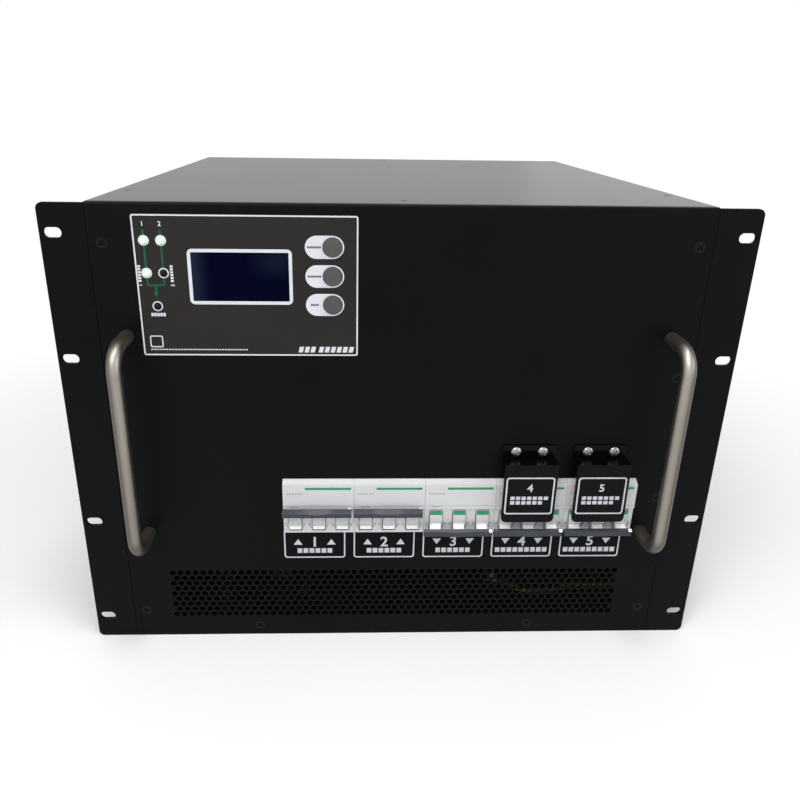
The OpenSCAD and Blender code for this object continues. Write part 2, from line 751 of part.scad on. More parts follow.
// Top-hat rail behind the breakers
module din_rail() color([0.75, 0.76, 0.78]) translate([row_x, 0, row_z])
    side_extrude(row_w + 2 * rail_over) {
        h = rail_h / 2;
        c = 13.5;                // half height of the hat
        y = seat_y;
        d = rail_deep;
        t = rail_t;
        polygon([[y, h], [y + t, h], [y + t, c + t], [y + d, c + t], [y + d, -c - t], [y + t, -c - t],
                 [y + t, -h], [y, -h], [y, -c], [y + d - t, -c], [y + d - t, c], [y, c]]);
    }

// Two uprights from the floor that carry the rail
module rail_brackets() color([0.7, 0.7, 0.72]) for (s = [-1, 1])
    translate([row_x + s * (row_w / 2 + rail_over - bracket_w / 2), 0, 0]) {
        y = seat_y + rail_deep;
        block([-bracket_w / 2, y, wall], [bracket_w / 2, y + 2, row_z + 14]);
        block([-bracket_w / 2, y, wall], [bracket_w / 2, y + 22, wall + 2]);
    }

// ---------------------------------------------------------------- guards

function guard_x(g) = breaker_x(3 + g) + guard_shift;

module guard_screw_places() {
    for (g = [1, 2], s = [-1, 1])
        translate([guard_x(g) + s * guard_screw_span / 2, 0, guard_z + guard_tab / 2]) children();
}

// A stepped plate that keeps a lever down: fixing flange, shelf and face
module guard(g) difference() {
    translate([guard_x(g), 0, 0]) {
        r = 4;
        plate(front_y - guard_t, guard_t) translate([-guard_w / 2, guard_z - guard_t])
            square([guard_w, guard_tab + guard_t]);
        block([-guard_w / 2, front_y - guard_out, guard_z - guard_t], [guard_w / 2, front_y, guard_z]);
        plate(front_y - guard_out, guard_t) {
            translate([-guard_w / 2, guard_z - guard_drop + r]) square([guard_w, guard_drop - r]);
            translate([r - guard_w / 2, guard_z - guard_drop]) square([guard_w - 2 * r, r + 1]);
            for (s = [-1, 1]) translate([s * (guard_w / 2 - r), guard_z - guard_drop + r]) circle(r);
        }
    }
    guard_screw_places() rod(0, front_y - guard_t - 1, front_y + 1, 0, m4[0] + bite);
}

module guard_1() color([0.08, 0.08, 0.09]) guard(1);
module guard_2() color([0.08, 0.08, 0.09]) guard(2);

module guard_screws() color([0.75, 0.74, 0.7]) guard_screw_places()
    translate([0, front_y - guard_t, 0]) facing_front() pan_screw(m4, guard_t + panel_t + 4);

// ---------------------------------------------------------------- power stage

// Extruded heatsink: base on top, fins below, and a footed leg at each side
module heatsink(side) translate([side * sink_x, 0, wall]) plate(sink_y, sink_l) {
    pitch = (sink_w - 2 * leg_t) / (sink_fins + 1);
    translate([-sink_w / 2, sink_h - sink_base]) square([sink_w, sink_base]);
    for (s = [0, 1]) mirror([s, 0]) translate([sink_w / 2 - leg_t, 0]) {
        square([leg_t, sink_h]);
        square([leg_t + foot_w, 4]);
    }
    for (i = [1:sink_fins]) translate([-sink_w / 2 + leg_t + i * pitch - fin_t / 2, fin_low])
        square([fin_t, sink_h - fin_low]);
}

module heatsink_1() color([0.8, 0.81, 0.83]) heatsink(-1);
module heatsink_2() color([0.8, 0.81, 0.83]) heatsink(1);

// Thyristor pairs, three to a heatsink, each with three screw lugs on top
module thyristor_modules() color([0.13, 0.13, 0.14]) for (s = [-1, 1], i = [0:2])
    translate([s * sink_x, module_y(i), wall + sink_h]) {
        difference() {
            translate([-module_l / 2, -module_w / 2, 0]) cube([module_l, module_w, module_base]);
            for (e = [-1, 1]) translate([e * (module_l / 2 - 7), 0, -1])
                cylinder(h = module_base + 2, r = 3.2);
        }
        translate([-module_l / 2 + 14, -module_w / 2 + 2, 0]) cube([module_l - 28, module_w - 4, module_h]);
        for (x = module_lug) translate([x - 6, -6, module_h]) cube([12, 12, lug_t]);
    }

// Copper bars that join both sets of modules, phase by phase
module output_busbars() color([0.8, 0.5, 0.32]) for (i = [0:2]) {
    end_x = sink_x - module_lug[2] + 8;
    translate([-end_x, module_y(i) - bar_w / 2, lug_top]) cube([2 * end_x, bar_w, bar_t]);
}

// Window type current transformers, one on each output bar
module current_transformers() color([0.12, 0.12, 0.13]) for (i = [0:2])
    translate([0, module_y(i), lug_top + bar_t]) difference() {
        translate([-ct_w / 2, -ct_l / 2, -ct_h / 2]) cube([ct_w, ct_l, ct_h]);
        translate([-ct_w, -bar_w / 2 - 0.3, -bar_t - 0.3]) cube([2 * ct_w, bar_w + 0.6, bar_t + 0.3]);
    }

// Control board, upright on the left wall
module control_board() color([0.1, 0.35, 0.18]) translate([-inner_x + control_gap, control_y, control_z]) {
    translate([0, -control_l / 2, -control_h / 2]) cube([board_t, control_l, control_h]);
    translate([board_t, 0, 0]) {
        for (i = [0:4]) translate([0, -78 + i * 22, 38]) cube([15, 17, 19]);
        for (i = [0:2]) translate([0, 10 + i * 26, -40]) rotate([0, 90, 0]) cylinder(h = 20, r = 8);
        translate([0, -60, -45]) cube([28, 36, 30]);
        translate([0, -10, -8]) cube([3, 24, 24]);
        translate([0, 50, 30]) cube([11, 30, 12]);
    }
}

// Enclosed power supply on the right wall
module power_supply() color([0.75, 0.76, 0.78]) difference() {
    block([inner_x - supply_d, -supply_y, supply_z[0]], [inner_x, supply_y, supply_z[1]]);
    block([inner_x - supply_d - 1, -supply_y - 1, supply_z[1] - 10],
          [inner_x - 10, 16 - supply_y, supply_z[1] + 1]);
    for (i = [0:5]) translate([inner_x - supply_d - 1, 14 * i - 30, supply_z[0] + 15])
        cube([2, 4, supply_z[1] - supply_z[0] - 35]);
}

// ---------------------------------------------------------------- fans

module fan_places() {
    for (i = [-1:1]) translate([i * fan_pitch, fan_z]) children();
}

module fan_holes(r) {
    for (x = [-1, 1], z = [-1, 1]) translate([x * fan_hole, z * fan_hole]) circle(r);
}

module fan_screw_places() {
    for (i = [-1:1], x = [-1, 1], z = [-1, 1])
        translate([i * fan_pitch + x * fan_hole, rear_y + grille_t, fan_z + z * fan_hole])
            rotate([-90, 0, 0]) children();
}

// Fan frames: square shells with four arms to the motor plate at the rear
module fan_frames() color([0.1, 0.1, 0.1]) {
    plate(bay_y - fan_t, fan_t) fan_places() difference() {
        round_rect(fan_w, fan_w, 5);
        circle(fan_bore);
        fan_holes(m4[0] + bite);
    }
    plate(bay_y - 3, 3) fan_places() difference() {
        union() {
            circle(hub_r);
            for (a = [45:90:315]) rotate(a) translate([hub_r - 2, -2.5]) square([fan_bore - hub_r + 3, 5]);
        }
        circle(shaft_r + 0.05);
    }
}

// A rotor: hub, pitched blades and the shaft in the motor plate
module fan_rotor(i) translate([i * fan_pitch, bay_y, fan_z]) rotate([90, 0, 0]) {
    translate([0, 0, 3.5]) cylinder(h = fan_t - 6, r = hub_r);
    cylinder(h = 5, r = shaft_r);
    intersection() {
        for (k = [0:fan_blades - 1]) rotate([0, 0, k * 360 / fan_blades])
            translate([hub_r - 2, 0, fan_t / 2]) rotate([38, 0, 0]) translate([0, -12, -0.9])
                cube([fan_bore - hub_r + 2, 24, 1.8]);
        translate([0, 0, 4]) cylinder(h = fan_t - 7, r = fan_bore - 2);
    }
}

module fan_rotor_1() color([0.14, 0.14, 0.14]) fan_rotor(-1);
module fan_rotor_2() color([0.14, 0.14, 0.14]) fan_rotor(0);
module fan_rotor_3() color([0.14, 0.14, 0.14]) fan_rotor(1);

// Finger grilles outside the rear panel
module fan_grilles() color([0.75, 0.75, 0.76]) plate(rear_y, grille_t) fan_places() difference() {
    union() {
        for (r = [14:10:fan_bore - 2]) difference() {
            circle(r + 1);
            circle(r - 1);
        }
        for (a = [45, 135]) rotate(a) square([2 * (fan_hole * sqrt(2)), 3], center = true);
        for (x = [-1, 1], z = [-1, 1]) translate([x * fan_hole, z * fan_hole]) circle(5);
    }
    fan_holes(m4[0] + bite);
}

// ---------------------------------------------------------------- terminals and wiring

module term_screw_places() {
    for (s = [-1, 1]) translate([term_x + s * (term_w / 2 + 6), 0, term_z]) children();
}

// Barrier strip behind the rear window, nine ways, with lugs at both ends for its screws
module terminal_block() color([0.15, 0.15, 0.15]) difference() {
    union() {
        block([term_x - term_w / 2, bay_y - term_d, term_z - term_h / 2],
              [term_x + term_w / 2, rear_y, term_z + term_h / 2]);
        block([term_x - term_w / 2 - 12, bay_y - 8, term_z - 9],
              [term_x + term_w / 2 + 12, bay_y, term_z + 9]);
    }
    for (i = [0:ways - 1]) translate([term_x + (i - (ways - 1) / 2) * pole_w, 0, term_z]) {
        block([-7, rear_y - 3, -term_h / 2 + 4], [7, rear_y + 1, term_h / 2 - 4]);
        rod(0, rear_y - 9, rear_y, 0, 3);
    }
    term_screw_places() rod(0, bay_y - 9, bay_y + 1, 0, m4[0] + bite);
}

// Wires from the rear terminals to the tops of the breakers
module supply_wires() color([0.12, 0.12, 0.13]) for (b = [1:3], p = [0:2]) {
    x = pole_x(b, p);
    top = row_z + breaker_h / 2;
    term_y = bay_y - term_d / 2;
    term_top = term_z + term_h / 2;
    run = term_top + 24;
    wire([[x, wire_y, top - 5], [x, wire_y, top + 14], [x, wire_y, run - 20], [x, wire_y + 7, run - 6],
          [x, wire_y + 22, run], [x, 0, run + 2], [x, term_y - 22, run + 1], [x, term_y - 7, run - 4],
          [x, term_y, run - 14], [x, term_y, term_top + lug_gap]], wire_r);
}

// Wires from the first two breakers down, behind the rail and back to the modules
module module_wires() color([0.12, 0.12, 0.13]) for (s = [-1, 1], i = [0:2]) {
    x0 = s < 0 ? pole_x(1, 2 - i) : pole_x(2, i);
    x1 = s * (sink_x + module_lug[2]);
    run_x = x1 + s * 8 * i;
    run_z = lug_top + 16 + 9 * i;
    low = row_z - breaker_h / 2;
    rise_y = seat_y + rail_deep + 8;
    y1 = module_y(i);
    wire([[x0, wire_y, low + 5], [x0, wire_y, low - 8],
          [x0, wire_y + 5, low - 18], [x0, wire_y + 16, low - 22],
          [x0, rise_y - 5, low - 12], [x0, rise_y, low + 10], [x0, rise_y + 1, run_z - 18],
          [x0 + (run_x - x0) * 0.12, rise_y + 16 - 4 * i, run_z - 4],
          [x0 + (run_x - x0) * 0.6, rise_y + 30 - 3 * i, run_z],
          [run_x - (run_x - x0) * 0.08, y1 - 36, run_z], [run_x, y1 - 22, run_z],
          [x1 + (run_x - x1) * 0.3, y1 - 8, run_z - 1], [x1, y1, run_z - 9], [x1, y1, lug_top + lug_gap]],
         wire_r);
}

// A stud with its washer and nut, and the ring lug of the wire, which points along +X
module earth_stud() {
    cylinder(h = stud_h, r = 8);
    translate([0, 0, stud_h]) {
        cylinder(h = 1.2, r = 6);
        translate([0, -3.4, 0]) cube([lug_l - 8, 6.8, 1.2]);
        translate([lug_l - 9, 0, earth_r + 0.8]) rotate([0, 90, 0]) cylinder(h = 9, r = earth_r + 0.8);
        translate([0, 0, 1.2]) cylinder(h = 5, r = 5.8, $fn = 6);
        translate([0, 0, 6.2]) cylinder(h = 6, r = 3);
    }
}

// Tinned earth bar on two posts from the floor, and both earth studs
module earth_bar() color([0.8, 0.8, 0.78]) {
    difference() {
        block([earth_x - 50, earth_y, earth_z], [earth_x + 50, earth_y + 4, earth_z + 16]);
        for (i = [-3:3]) rod(earth_x + i * earth_pitch, earth_y - 1, earth_y + 5, earth_z + 8, 2.1 + bite);
    }
    for (s = [-1, 1])
        block([earth_x + s * 35 - 5, earth_y, wall], [earth_x + s * 35 + 5, earth_y + 4, earth_z]);
    for (i = [-3:3]) translate([earth_x + i * earth_pitch, earth_y, earth_z + 8])
        facing_front() pan_screw([2.1, 4.2], 5);
    translate([floor_stud[0], floor_stud[1], wall]) rotate(-45) earth_stud();
    translate([inner_x, wall_stud[0], wall_stud[1]]) rotate([0, -90, 0]) rotate(180) earth_stud();
}

// Green and yellow earth wire along the floor, from one stud to the other
module earth_wire() color([0.45, 0.7, 0.2]) {
    lug_z = stud_h + 1.2 + earth_r + 0.8;
    x = floor_stud[0] + (lug_l + lug_gap) * cos(45);
    y = floor_stud[1] - (lug_l + lug_gap) * sin(45);
    z = wall + lug_z;
    x1 = inner_x - lug_z;
    y1 = wall_stud[0];
    z1 = wall_stud[1] - lug_l - lug_gap;
    wire([[x, y, z], [x + 4, y - 4, z], [x + 11, y - 9, z - 0.6], [x + 22, y - 11, z - 1],
          [x + 36, y - 9, z - 1], [x + 50, y - 4, z - 1], [x + 64, y, z - 0.6],
          [x1 - 20, y1 + 1, z - 0.4], [x1 - 9, y1, z + 0.2], [x1 - 2.4, y1, z + 2.6],
          [x1, y1, z1 - 3.6], [x1, y1, z1]],
         earth_r, side = [0, 1, 0.4]);
}

// ---------------------------------------------------------------- what is drawn
base_tray();
front_panel();
rack_ear_left();
rack_ear_right();
top_cover();
rear_panel();
handle_left();
handle_right();
handle_screws();
panel_screws();
ear_screws();
cover_screws();
rear_screws();
display_overlay();
lcd_module();
display_board();
board_pillars();
lamps_lit();
lamps_unlit();
key_top();
key_middle();
key_bottom();
key_switches();
breaker_1();
breaker_2();
breaker_3();
breaker_4();
breaker_5();
levers_1();
levers_2();
levers_3();
levers_4();
levers_5();
tie_bar_1();
tie_bar_2();
tie_bar_3();
tie_bar_4();
tie_bar_5();
din_rail();
rail_brackets();
guard_1();
guard_2();
guard_screws();
heatsink_1();
heatsink_2();
thyristor_modules();
output_busbars();
current_transformers();
control_board();
power_supply();
fan_frames();
fan_rotor_1();
fan_rotor_2();
fan_rotor_3();
fan_grilles();
terminal_block();
supply_wires();
module_wires();
earth_bar();
earth_wire();
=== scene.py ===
"""Looks of a rack static transfer switch: a chassis with a display, five breakers and two handles."""
import json
import math

import bmesh
import bpy
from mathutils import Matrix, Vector


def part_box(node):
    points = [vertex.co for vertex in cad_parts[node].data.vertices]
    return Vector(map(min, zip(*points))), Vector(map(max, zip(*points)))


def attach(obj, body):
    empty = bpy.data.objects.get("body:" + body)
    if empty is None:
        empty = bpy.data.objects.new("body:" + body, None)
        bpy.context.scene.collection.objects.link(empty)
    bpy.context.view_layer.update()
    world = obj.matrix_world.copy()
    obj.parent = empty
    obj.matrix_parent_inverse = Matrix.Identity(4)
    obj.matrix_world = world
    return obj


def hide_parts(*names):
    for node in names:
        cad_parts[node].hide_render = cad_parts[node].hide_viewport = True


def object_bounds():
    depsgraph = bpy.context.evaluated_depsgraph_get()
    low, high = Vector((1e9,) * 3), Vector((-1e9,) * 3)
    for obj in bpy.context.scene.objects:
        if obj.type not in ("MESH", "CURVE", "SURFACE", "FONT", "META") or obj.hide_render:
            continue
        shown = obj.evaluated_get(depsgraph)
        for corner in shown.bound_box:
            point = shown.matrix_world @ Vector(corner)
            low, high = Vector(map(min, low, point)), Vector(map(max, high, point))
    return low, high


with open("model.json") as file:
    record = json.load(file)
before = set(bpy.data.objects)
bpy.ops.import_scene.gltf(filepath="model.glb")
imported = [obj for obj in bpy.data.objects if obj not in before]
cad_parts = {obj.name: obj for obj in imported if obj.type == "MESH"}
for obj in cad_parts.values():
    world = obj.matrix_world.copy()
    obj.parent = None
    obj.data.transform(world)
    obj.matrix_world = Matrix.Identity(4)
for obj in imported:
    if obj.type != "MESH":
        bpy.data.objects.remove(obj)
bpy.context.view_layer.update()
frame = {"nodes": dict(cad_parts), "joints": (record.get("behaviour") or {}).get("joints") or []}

# ---------------------------------------------------------------- tray and rear panel
# The tray and the rear panel are folded from 1.5 mm steel and joined by screws. Both are sprayed with the
# same fine black powder coat and baked, which leaves a faint orange peel.
MM = 0.001
nodes = frame["nodes"]
sheet_edge = 0.25 * MM


def put(tree, kind, inputs=None, **settings):
    """Adds a node with these settings. An input is a socket to join or a plain value."""
    node = tree.nodes.new(kind if kind.startswith("NodeGroup") else "ShaderNode" + kind)
    for key, value in settings.items():
        setattr(node, key, value)
    for key, value in (inputs or {}).items():
        if isinstance(value, bpy.types.NodeSocket):
            tree.links.new(value, node.inputs[key])
        else:
            node.inputs[key].default_value = value
    return node


def blank_effect(name, inputs, outputs):
    """An empty group of shader nodes, with its own input and output sockets."""
    tree = bpy.data.node_groups.new(name, "ShaderNodeTree")
    for label, kind, value in inputs:
        socket = tree.interface.new_socket(label, in_out="INPUT", socket_type="NodeSocket" + kind)
        socket.default_value = value
    for label, kind in outputs:
        tree.interface.new_socket(label, in_out="OUTPUT", socket_type="NodeSocket" + kind)
    return tree, put(tree, "NodeGroupInput").outputs, put(tree, "NodeGroupOutput").inputs


def blend_colours(tree, share, first, second):
    """The colour that lies between two others."""
    mixed = put(tree, "Mix", {0: share, 6: first, 7: second}, data_type="RGBA")
    return mixed.outputs[2]


def roughness_around(tree, middle, spread, noise):
    """A roughness that swings about its middle as the noise does."""
    swing = put(tree, "Math", {0: noise, 1: 0.5}, operation="SUBTRACT")
    return put(tree, "Math", {0: swing.outputs[0], 1: spread, 2: middle}, operation="MULTIPLY_ADD").outputs[0]


def grain_effect():
    """Fine grain with slow patches of a second colour, as on powder coat, film and moulded plastic."""
    tree, given, out = blank_effect("grain", [
        ("Colour", "Color", (0.5, 0.5, 0.5, 1)), ("Patch colour", "Color", (0.4, 0.4, 0.4, 1)),
        ("Patches per metre", "Float", 9.0), ("Grains per metre", "Float", 900.0),
        ("Grain height", "Float", 0.00001), ("Roughness", "Float", 0.4), ("Roughness spread", "Float", 0.1),
    ], [("Colour", "Color"), ("Roughness", "Float"), ("Normal", "Vector")])
    place = put(tree, "TexCoord").outputs["Object"]
    patches = put(tree, "TexNoise", {"Vector": place, "Scale": given["Patches per metre"], "Detail": 4.0})
    grains = put(tree, "TexNoise", {"Vector": place, "Scale": given["Grains per metre"], "Detail": 2.0})
    share = put(tree, "MapRange", {"Value": patches.outputs["Fac"], "From Min": 0.35, "From Max": 0.65})
    both = put(tree, "Math", {0: patches.outputs["Fac"], 1: grains.outputs["Fac"]}, operation="ADD")
    half = put(tree, "Math", {0: both.outputs[0], 1: 0.5}, operation="MULTIPLY")
    bump = put(tree, "Bump", {"Height": grains.outputs["Fac"], "Distance": given["Grain height"]})
    colour = blend_colours(tree, share.outputs[0], given["Colour"], given["Patch colour"])
    rough = roughness_around(tree, given["Roughness"], given["Roughness spread"], half.outputs[0])
    tree.links.new(colour, out["Colour"])
    tree.links.new(rough, out["Roughness"])
    tree.links.new(bump.outputs["Normal"], out["Normal"])
    return tree


grain = grain_effect()


def opaque(colour):
    """A colour with the full opacity that a colour socket asks for."""
    return (*colour, 1.0)


def surface(name, effect, look, **plain):
    """A material: the effect drives its colour, roughness and normal, and plain values sit on the shader."""
    made = bpy.data.materials.new(name)
    made.use_nodes = True
    tree = made.node_tree
    shader = tree.nodes["Principled BSDF"]
    drawn = put(tree, "Group", node_tree=effect)
    for key, value in look.items():
        drawn.inputs[key].default_value = value
    for output, socket in (("Colour", "Base Color"), ("Roughness", "Roughness"), ("Normal", "Normal")):
        tree.links.new(drawn.outputs[output], shader.inputs[socket])
    for key, value in plain.items():
        shader.inputs[key.replace("_", " ")].default_value = value
    return made


def grained(name, colour, patch, roughness, spread=0.08, patches=9.0, grains=900.0, height=0.00001, **plain):
    """A grained material: powder coat, film or moulded plastic."""
    return surface(name, grain, {
        "Colour": opaque(colour), "Patch colour": opaque(patch), "Patches per metre": patches,
        "Grains per metre": grains, "Grain height": height, "Roughness": roughness,
        "Roughness spread": spread,
    }, **plain)


def dress(material, *names):
    """Gives CAD pieces their material."""
    for name in names:
        for place in nodes[name].material_slots:
            place.material = material


def soften(width, *names, steps=2):
    """Breaks the sharp edges of CAD pieces, as a press brake, a file or a mould leaves them."""
    for name in names:
        weld = nodes[name].modifiers.new("weld", "WELD")
        weld.merge_threshold = 0.002 * MM
        flats = nodes[name].modifiers.new("flats", "DECIMATE")
        flats.decimate_type = "DISSOLVE"
        flats.angle_limit = math.radians(1.0)
        edges = nodes[name].modifiers.new("edges", "BEVEL")
        edges.width = width
        edges.segments = steps
        edges.limit_method = "ANGLE"
        edges.angle_limit = math.radians(40.0)
        shading = nodes[name].modifiers.new("shading", "WEIGHTED_NORMAL")
        shading.keep_sharp = False


powder_coat = grained("black powder coat", (0.0032, 0.0032, 0.0038), (0.0044, 0.004, 0.004), 0.42, 0.1,
                      grains=700.0, height=0.000012, Specular_IOR_Level=0.06)
dress(powder_coat, "base_tray", "rear_panel")
soften(sheet_edge, "base_tray", "rear_panel")

# ---------------------------------------------------------------- rail and brackets
# A top-hat rail of zinc plated steel carries the breakers. Two bent uprights hold it off the floor.
# Plated steel shows a fine drawn streak along its length.
streak_depth = 0.004 * MM


def drawn_effect():
    """Streaks that run one way, as on drawn, brushed or extruded metal."""
    tree, given, out = blank_effect("drawn metal", [
        ("Colour", "Color", (0.6, 0.6, 0.6, 1)), ("Streak colour", "Color", (0.5, 0.5, 0.5, 1)),
        ("Streaks per metre", "Vector", (20.0, 900.0, 900.0)), ("Streak depth", "Float", 0.000004),
        ("Roughness", "Float", 0.35), ("Roughness spread", "Float", 0.15),
    ], [("Colour", "Color"), ("Roughness", "Float"), ("Normal", "Vector")])
    place = put(tree, "TexCoord").outputs["Object"]
    drawn = put(tree, "VectorMath", {0: place, 1: given["Streaks per metre"]}, operation="MULTIPLY")
    streaks = put(tree, "TexNoise", {"Vector": drawn.outputs[0], "Scale": 1.0, "Detail": 3.0})
    stains = put(tree, "TexNoise", {"Vector": place, "Scale": 14.0, "Detail": 3.0})
    share = put(tree, "Math", {0: streaks.outputs["Fac"], 1: stains.outputs["Fac"]}, operation="MULTIPLY")
    spread = put(tree, "MapRange", {"Value": share.outputs[0], "From Min": 0.12, "From Max": 0.4})
    bump = put(tree, "Bump", {"Height": streaks.outputs["Fac"], "Distance": given["Streak depth"]})
    colour = blend_colours(tree, spread.outputs[0], given["Colour"], given["Streak colour"])
    rough = roughness_around(tree, given["Roughness"], given["Roughness spread"], streaks.outputs["Fac"])
    tree.links.new(colour, out["Colour"])
    tree.links.new(rough, out["Roughness"])
    tree.links.new(bump.outputs["Normal"], out["Normal"])
    return tree


drawn_metal = drawn_effect()


def metal(name, colour, streak, roughness, along, spread=0.12, fine=1100.0):
    """A metal whose streaks run along one axis: 0 across, 1 front to rear, 2 up."""
    per_metre = [fine] * 3
    per_metre[along] = fine / 60
    return surface(name, drawn_metal, {
        "Colour": opaque(colour), "Streak colour": opaque(streak), "Streaks per metre": per_metre,
        "Streak depth": streak_depth, "Roughness": roughness, "Roughness spread": spread,
    }, Metallic=1.0)


zinc_steel = metal("zinc plated steel", (0.62, 0.63, 0.66), (0.5, 0.52, 0.56), 0.34, along=0)
dress(zinc_steel, "din_rail", "rail_brackets")
soften(0.2 * MM, "din_rail", "rail_brackets")

# ---------------------------------------------------------------- power stage
# Two extruded heatsinks carry three thyristor modules each. Copper bars join the modules across the
# chassis, and a window type current transformer sits on each bar.
heatsink_aluminium = metal("extruded aluminium", (0.74, 0.75, 0.77), (0.62, 0.63, 0.66), 0.38, along=1)
module_plastic = grained("module plastic", (0.016, 0.016, 0.018), (0.022, 0.022, 0.024), 0.5, grains=1500.0)
copper_bar = metal("copper bar", (0.78, 0.42, 0.26), (0.62, 0.3, 0.18), 0.3, along=0)
transformer_plastic = grained("transformer plastic", (0.014, 0.014, 0.016), (0.02, 0.02, 0.02), 0.42)
dress(heatsink_aluminium, "heatsink_1", "heatsink_2")
dress(module_plastic, "thyristor_modules")
dress(copper_bar, "output_busbars")
dress(transformer_plastic, "current_transformers")
soften(0.3 * MM, "heatsink_1", "heatsink_2", "output_busbars")
soften(0.8 * MM, "thyristor_modules", "current_transformers", steps=3)

# ---------------------------------------------------------------- boards and power supply
# The control board stands on four brass spacers on the left wall, and the display board hangs on its own
# behind the front panel. The small supply on the right wall has a plain steel case.
circuit_board = grained("circuit board", (0.012, 0.115, 0.05), (0.02, 0.16, 0.075), 0.36, patches=260.0,
                        grains=1800.0, height=0.00002)
brass_pillars = metal("brass spacers", (0.72, 0.55, 0.27), (0.6, 0.43, 0.2), 0.28, along=1)
supply_case = metal("supply case", (0.66, 0.67, 0.7), (0.54, 0.55, 0.58), 0.4, along=2)
switch_plastic = grained("switch plastic", (0.012, 0.012, 0.013), (0.018, 0.018, 0.018), 0.4)
dress(circuit_board, "control_board", "display_board")
dress(brass_pillars, "board_pillars")
dress(supply_case, "power_supply")
dress(switch_plastic, "key_switches")
soften(0.15 * MM, "control_board", "display_board", "key_switches")
soften(0.6 * MM, "power_supply")

# ---------------------------------------------------------------- fans
# Three 120 mm fans blow out through the rear panel. Frame and rotor are moulded in a glass filled
# plastic, and the finger grilles are nickel plated steel.
fan_frame_plastic = grained("fan frame plastic", (0.014, 0.014, 0.014), (0.02, 0.02, 0.02), 0.5,
                            grains=1200.0)
fan_rotor_plastic = grained("fan rotor plastic", (0.02, 0.02, 0.021), (0.03, 0.03, 0.03), 0.44,
                            grains=1200.0)
grille_steel = metal("nickel plated grille", (0.6, 0.6, 0.61), (0.48, 0.48, 0.5), 0.24, along=0, fine=500.0)
dress(fan_frame_plastic, "fan_frames")
dress(fan_rotor_plastic, "fan_rotor_1", "fan_rotor_2", "fan_rotor_3")
dress(grille_steel, "fan_grilles")
soften(0.6 * MM, "fan_frames")
soften(0.3 * MM, "fan_rotor_1", "fan_rotor_2", "fan_rotor_3", "fan_grilles")

# ---------------------------------------------------------------- terminals and wiring
# A nine way barrier strip takes the supply at the rear, and black wires run from it to the breakers and
# on to the modules. The tinned earth bar stands behind the vent, with its green and yellow wire.
terminal_plastic = grained("terminal plastic", (0.016, 0.016, 0.017), (0.024, 0.024, 0.024), 0.46)
wire_black = grained("black wire", (0.012, 0.012, 0.013), (0.02, 0.02, 0.02), 0.42, patches=60.0)
tinned_bar = metal("tinned copper", (0.7, 0.7, 0.68), (0.56, 0.55, 0.52), 0.26, along=0)


def striped_wire():
    """Green insulation with yellow bands."""
    green = (0.05, 0.26, 0.05)
    yellow = (0.75, 0.62, 0.04)
    made = grained("green and yellow wire", green, green, 0.4)
    tree = made.node_tree
    place = put(tree, "TexCoord").outputs["Object"]
    bands = put(tree, "TexWave", {"Vector": place, "Scale": 90.0, "Distortion": 1.5, "Detail": 1.0},
                bands_direction="DIAGONAL")
    edge = put(tree, "MapRange", {"Value": bands.outputs["Fac"], "From Min": 0.55, "From Max": 0.65})
    colour = blend_colours(tree, edge.outputs[0], opaque(green), opaque(yellow))
    tree.links.new(colour, tree.nodes["Principled BSDF"].inputs["Base Color"])
    return made


dress(terminal_plastic, "terminal_block")
dress(wire_black, "supply_wires", "module_wires")
dress(tinned_bar, "earth_bar")
dress(striped_wire(), "earth_wire")
soften(0.5 * MM, "terminal_block")
soften(0.15 * MM, "earth_bar")

# ---------------------------------------------------------------- breakers
# Five three pole breakers in one row. The case is a light grey moulding with a green stripe, a dash and
# maker's blocks printed on its flat face, and a grey line painted across it as the shade in a groove. The
# levers' drums carry white fields by the arm and a green one above.
print_depth = 0.06 * MM
# left, right, height and thickness of printed bars and of the painted groove shade line, from the middle of
# the breaker
stripe = (-10.1, 24.7, 17.0, 1.9)
dash = (-21.7, -14.7, 1.1, 0.6)
# a grey line painted across the case's face as the shade in a groove
groove_shade_line = (-26.0, 26.0, 2.025, 0.25)
maker_x, maker_z, maker_letters, maker_block = -18.2, 12.6, 6, (1.3, 1.0, 2.2)
poles = (-18.0, 0.0, 18.0)
drum_r, lever_w = 10.4, 9.6
field_margin, field_lift, field_root = 0.25, 0.12, -0.3
white_spans = ((-21, 17), (-95, -61))
green_spans, green_corner = ((56, 73),), 1.3

breaker_case = grained("breaker case", (0.6, 0.603, 0.625), (0.57, 0.576, 0.595), 0.36, patches=40.0,
                       grains=1600.0, height=0.000006)
lever_plastic = grained("lever plastic", (0.54, 0.545, 0.55), (0.5, 0.505, 0.51), 0.34, patches=60.0)
lever_white = grained("white lever field", (0.9, 0.9, 0.91), (0.87, 0.87, 0.88), 0.3, patches=60.0)
green_ink = grained("green ink", (0.012, 0.23, 0.1), (0.016, 0.26, 0.115), 0.35, patches=80.0)
# grey ink for the dash and the maker's blocks, and painted shade for the groove line
grey_ink_and_groove_shade = grained("grey ink and painted groove shade", (0.3, 0.3, 0.31), (0.26, 0.26, 0.27), 0.45, patches=80.0)


def new_piece(name, bm, material, body):
    """Makes an object from a bmesh, with its finish and the body that it rides on."""
    bmesh.ops.recalc_face_normals(bm, faces=bm.faces)
    mesh = bpy.data.meshes.new(name)
    bm.to_mesh(mesh)
    bm.free()
    for face in mesh.polygons:
        face.use_smooth = False
    mesh.materials.append(material)
    piece = bpy.data.objects.new(name, mesh)
    bpy.context.scene.collection.objects.link(piece)
    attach(piece, body)
    return piece


def oblong(x0, x1, z0, z1):
    """The outline of a rectangle, in millimetres."""
    return [(x0, z0), (x1, z0), (x1, z1), (x0, z1)]


def bar(left, right, height, thick, x, z):
    """The outline of a printed bar about a point."""
    return oblong(x + left, x + right, z + height - thick / 2, z + height + thick / 2)


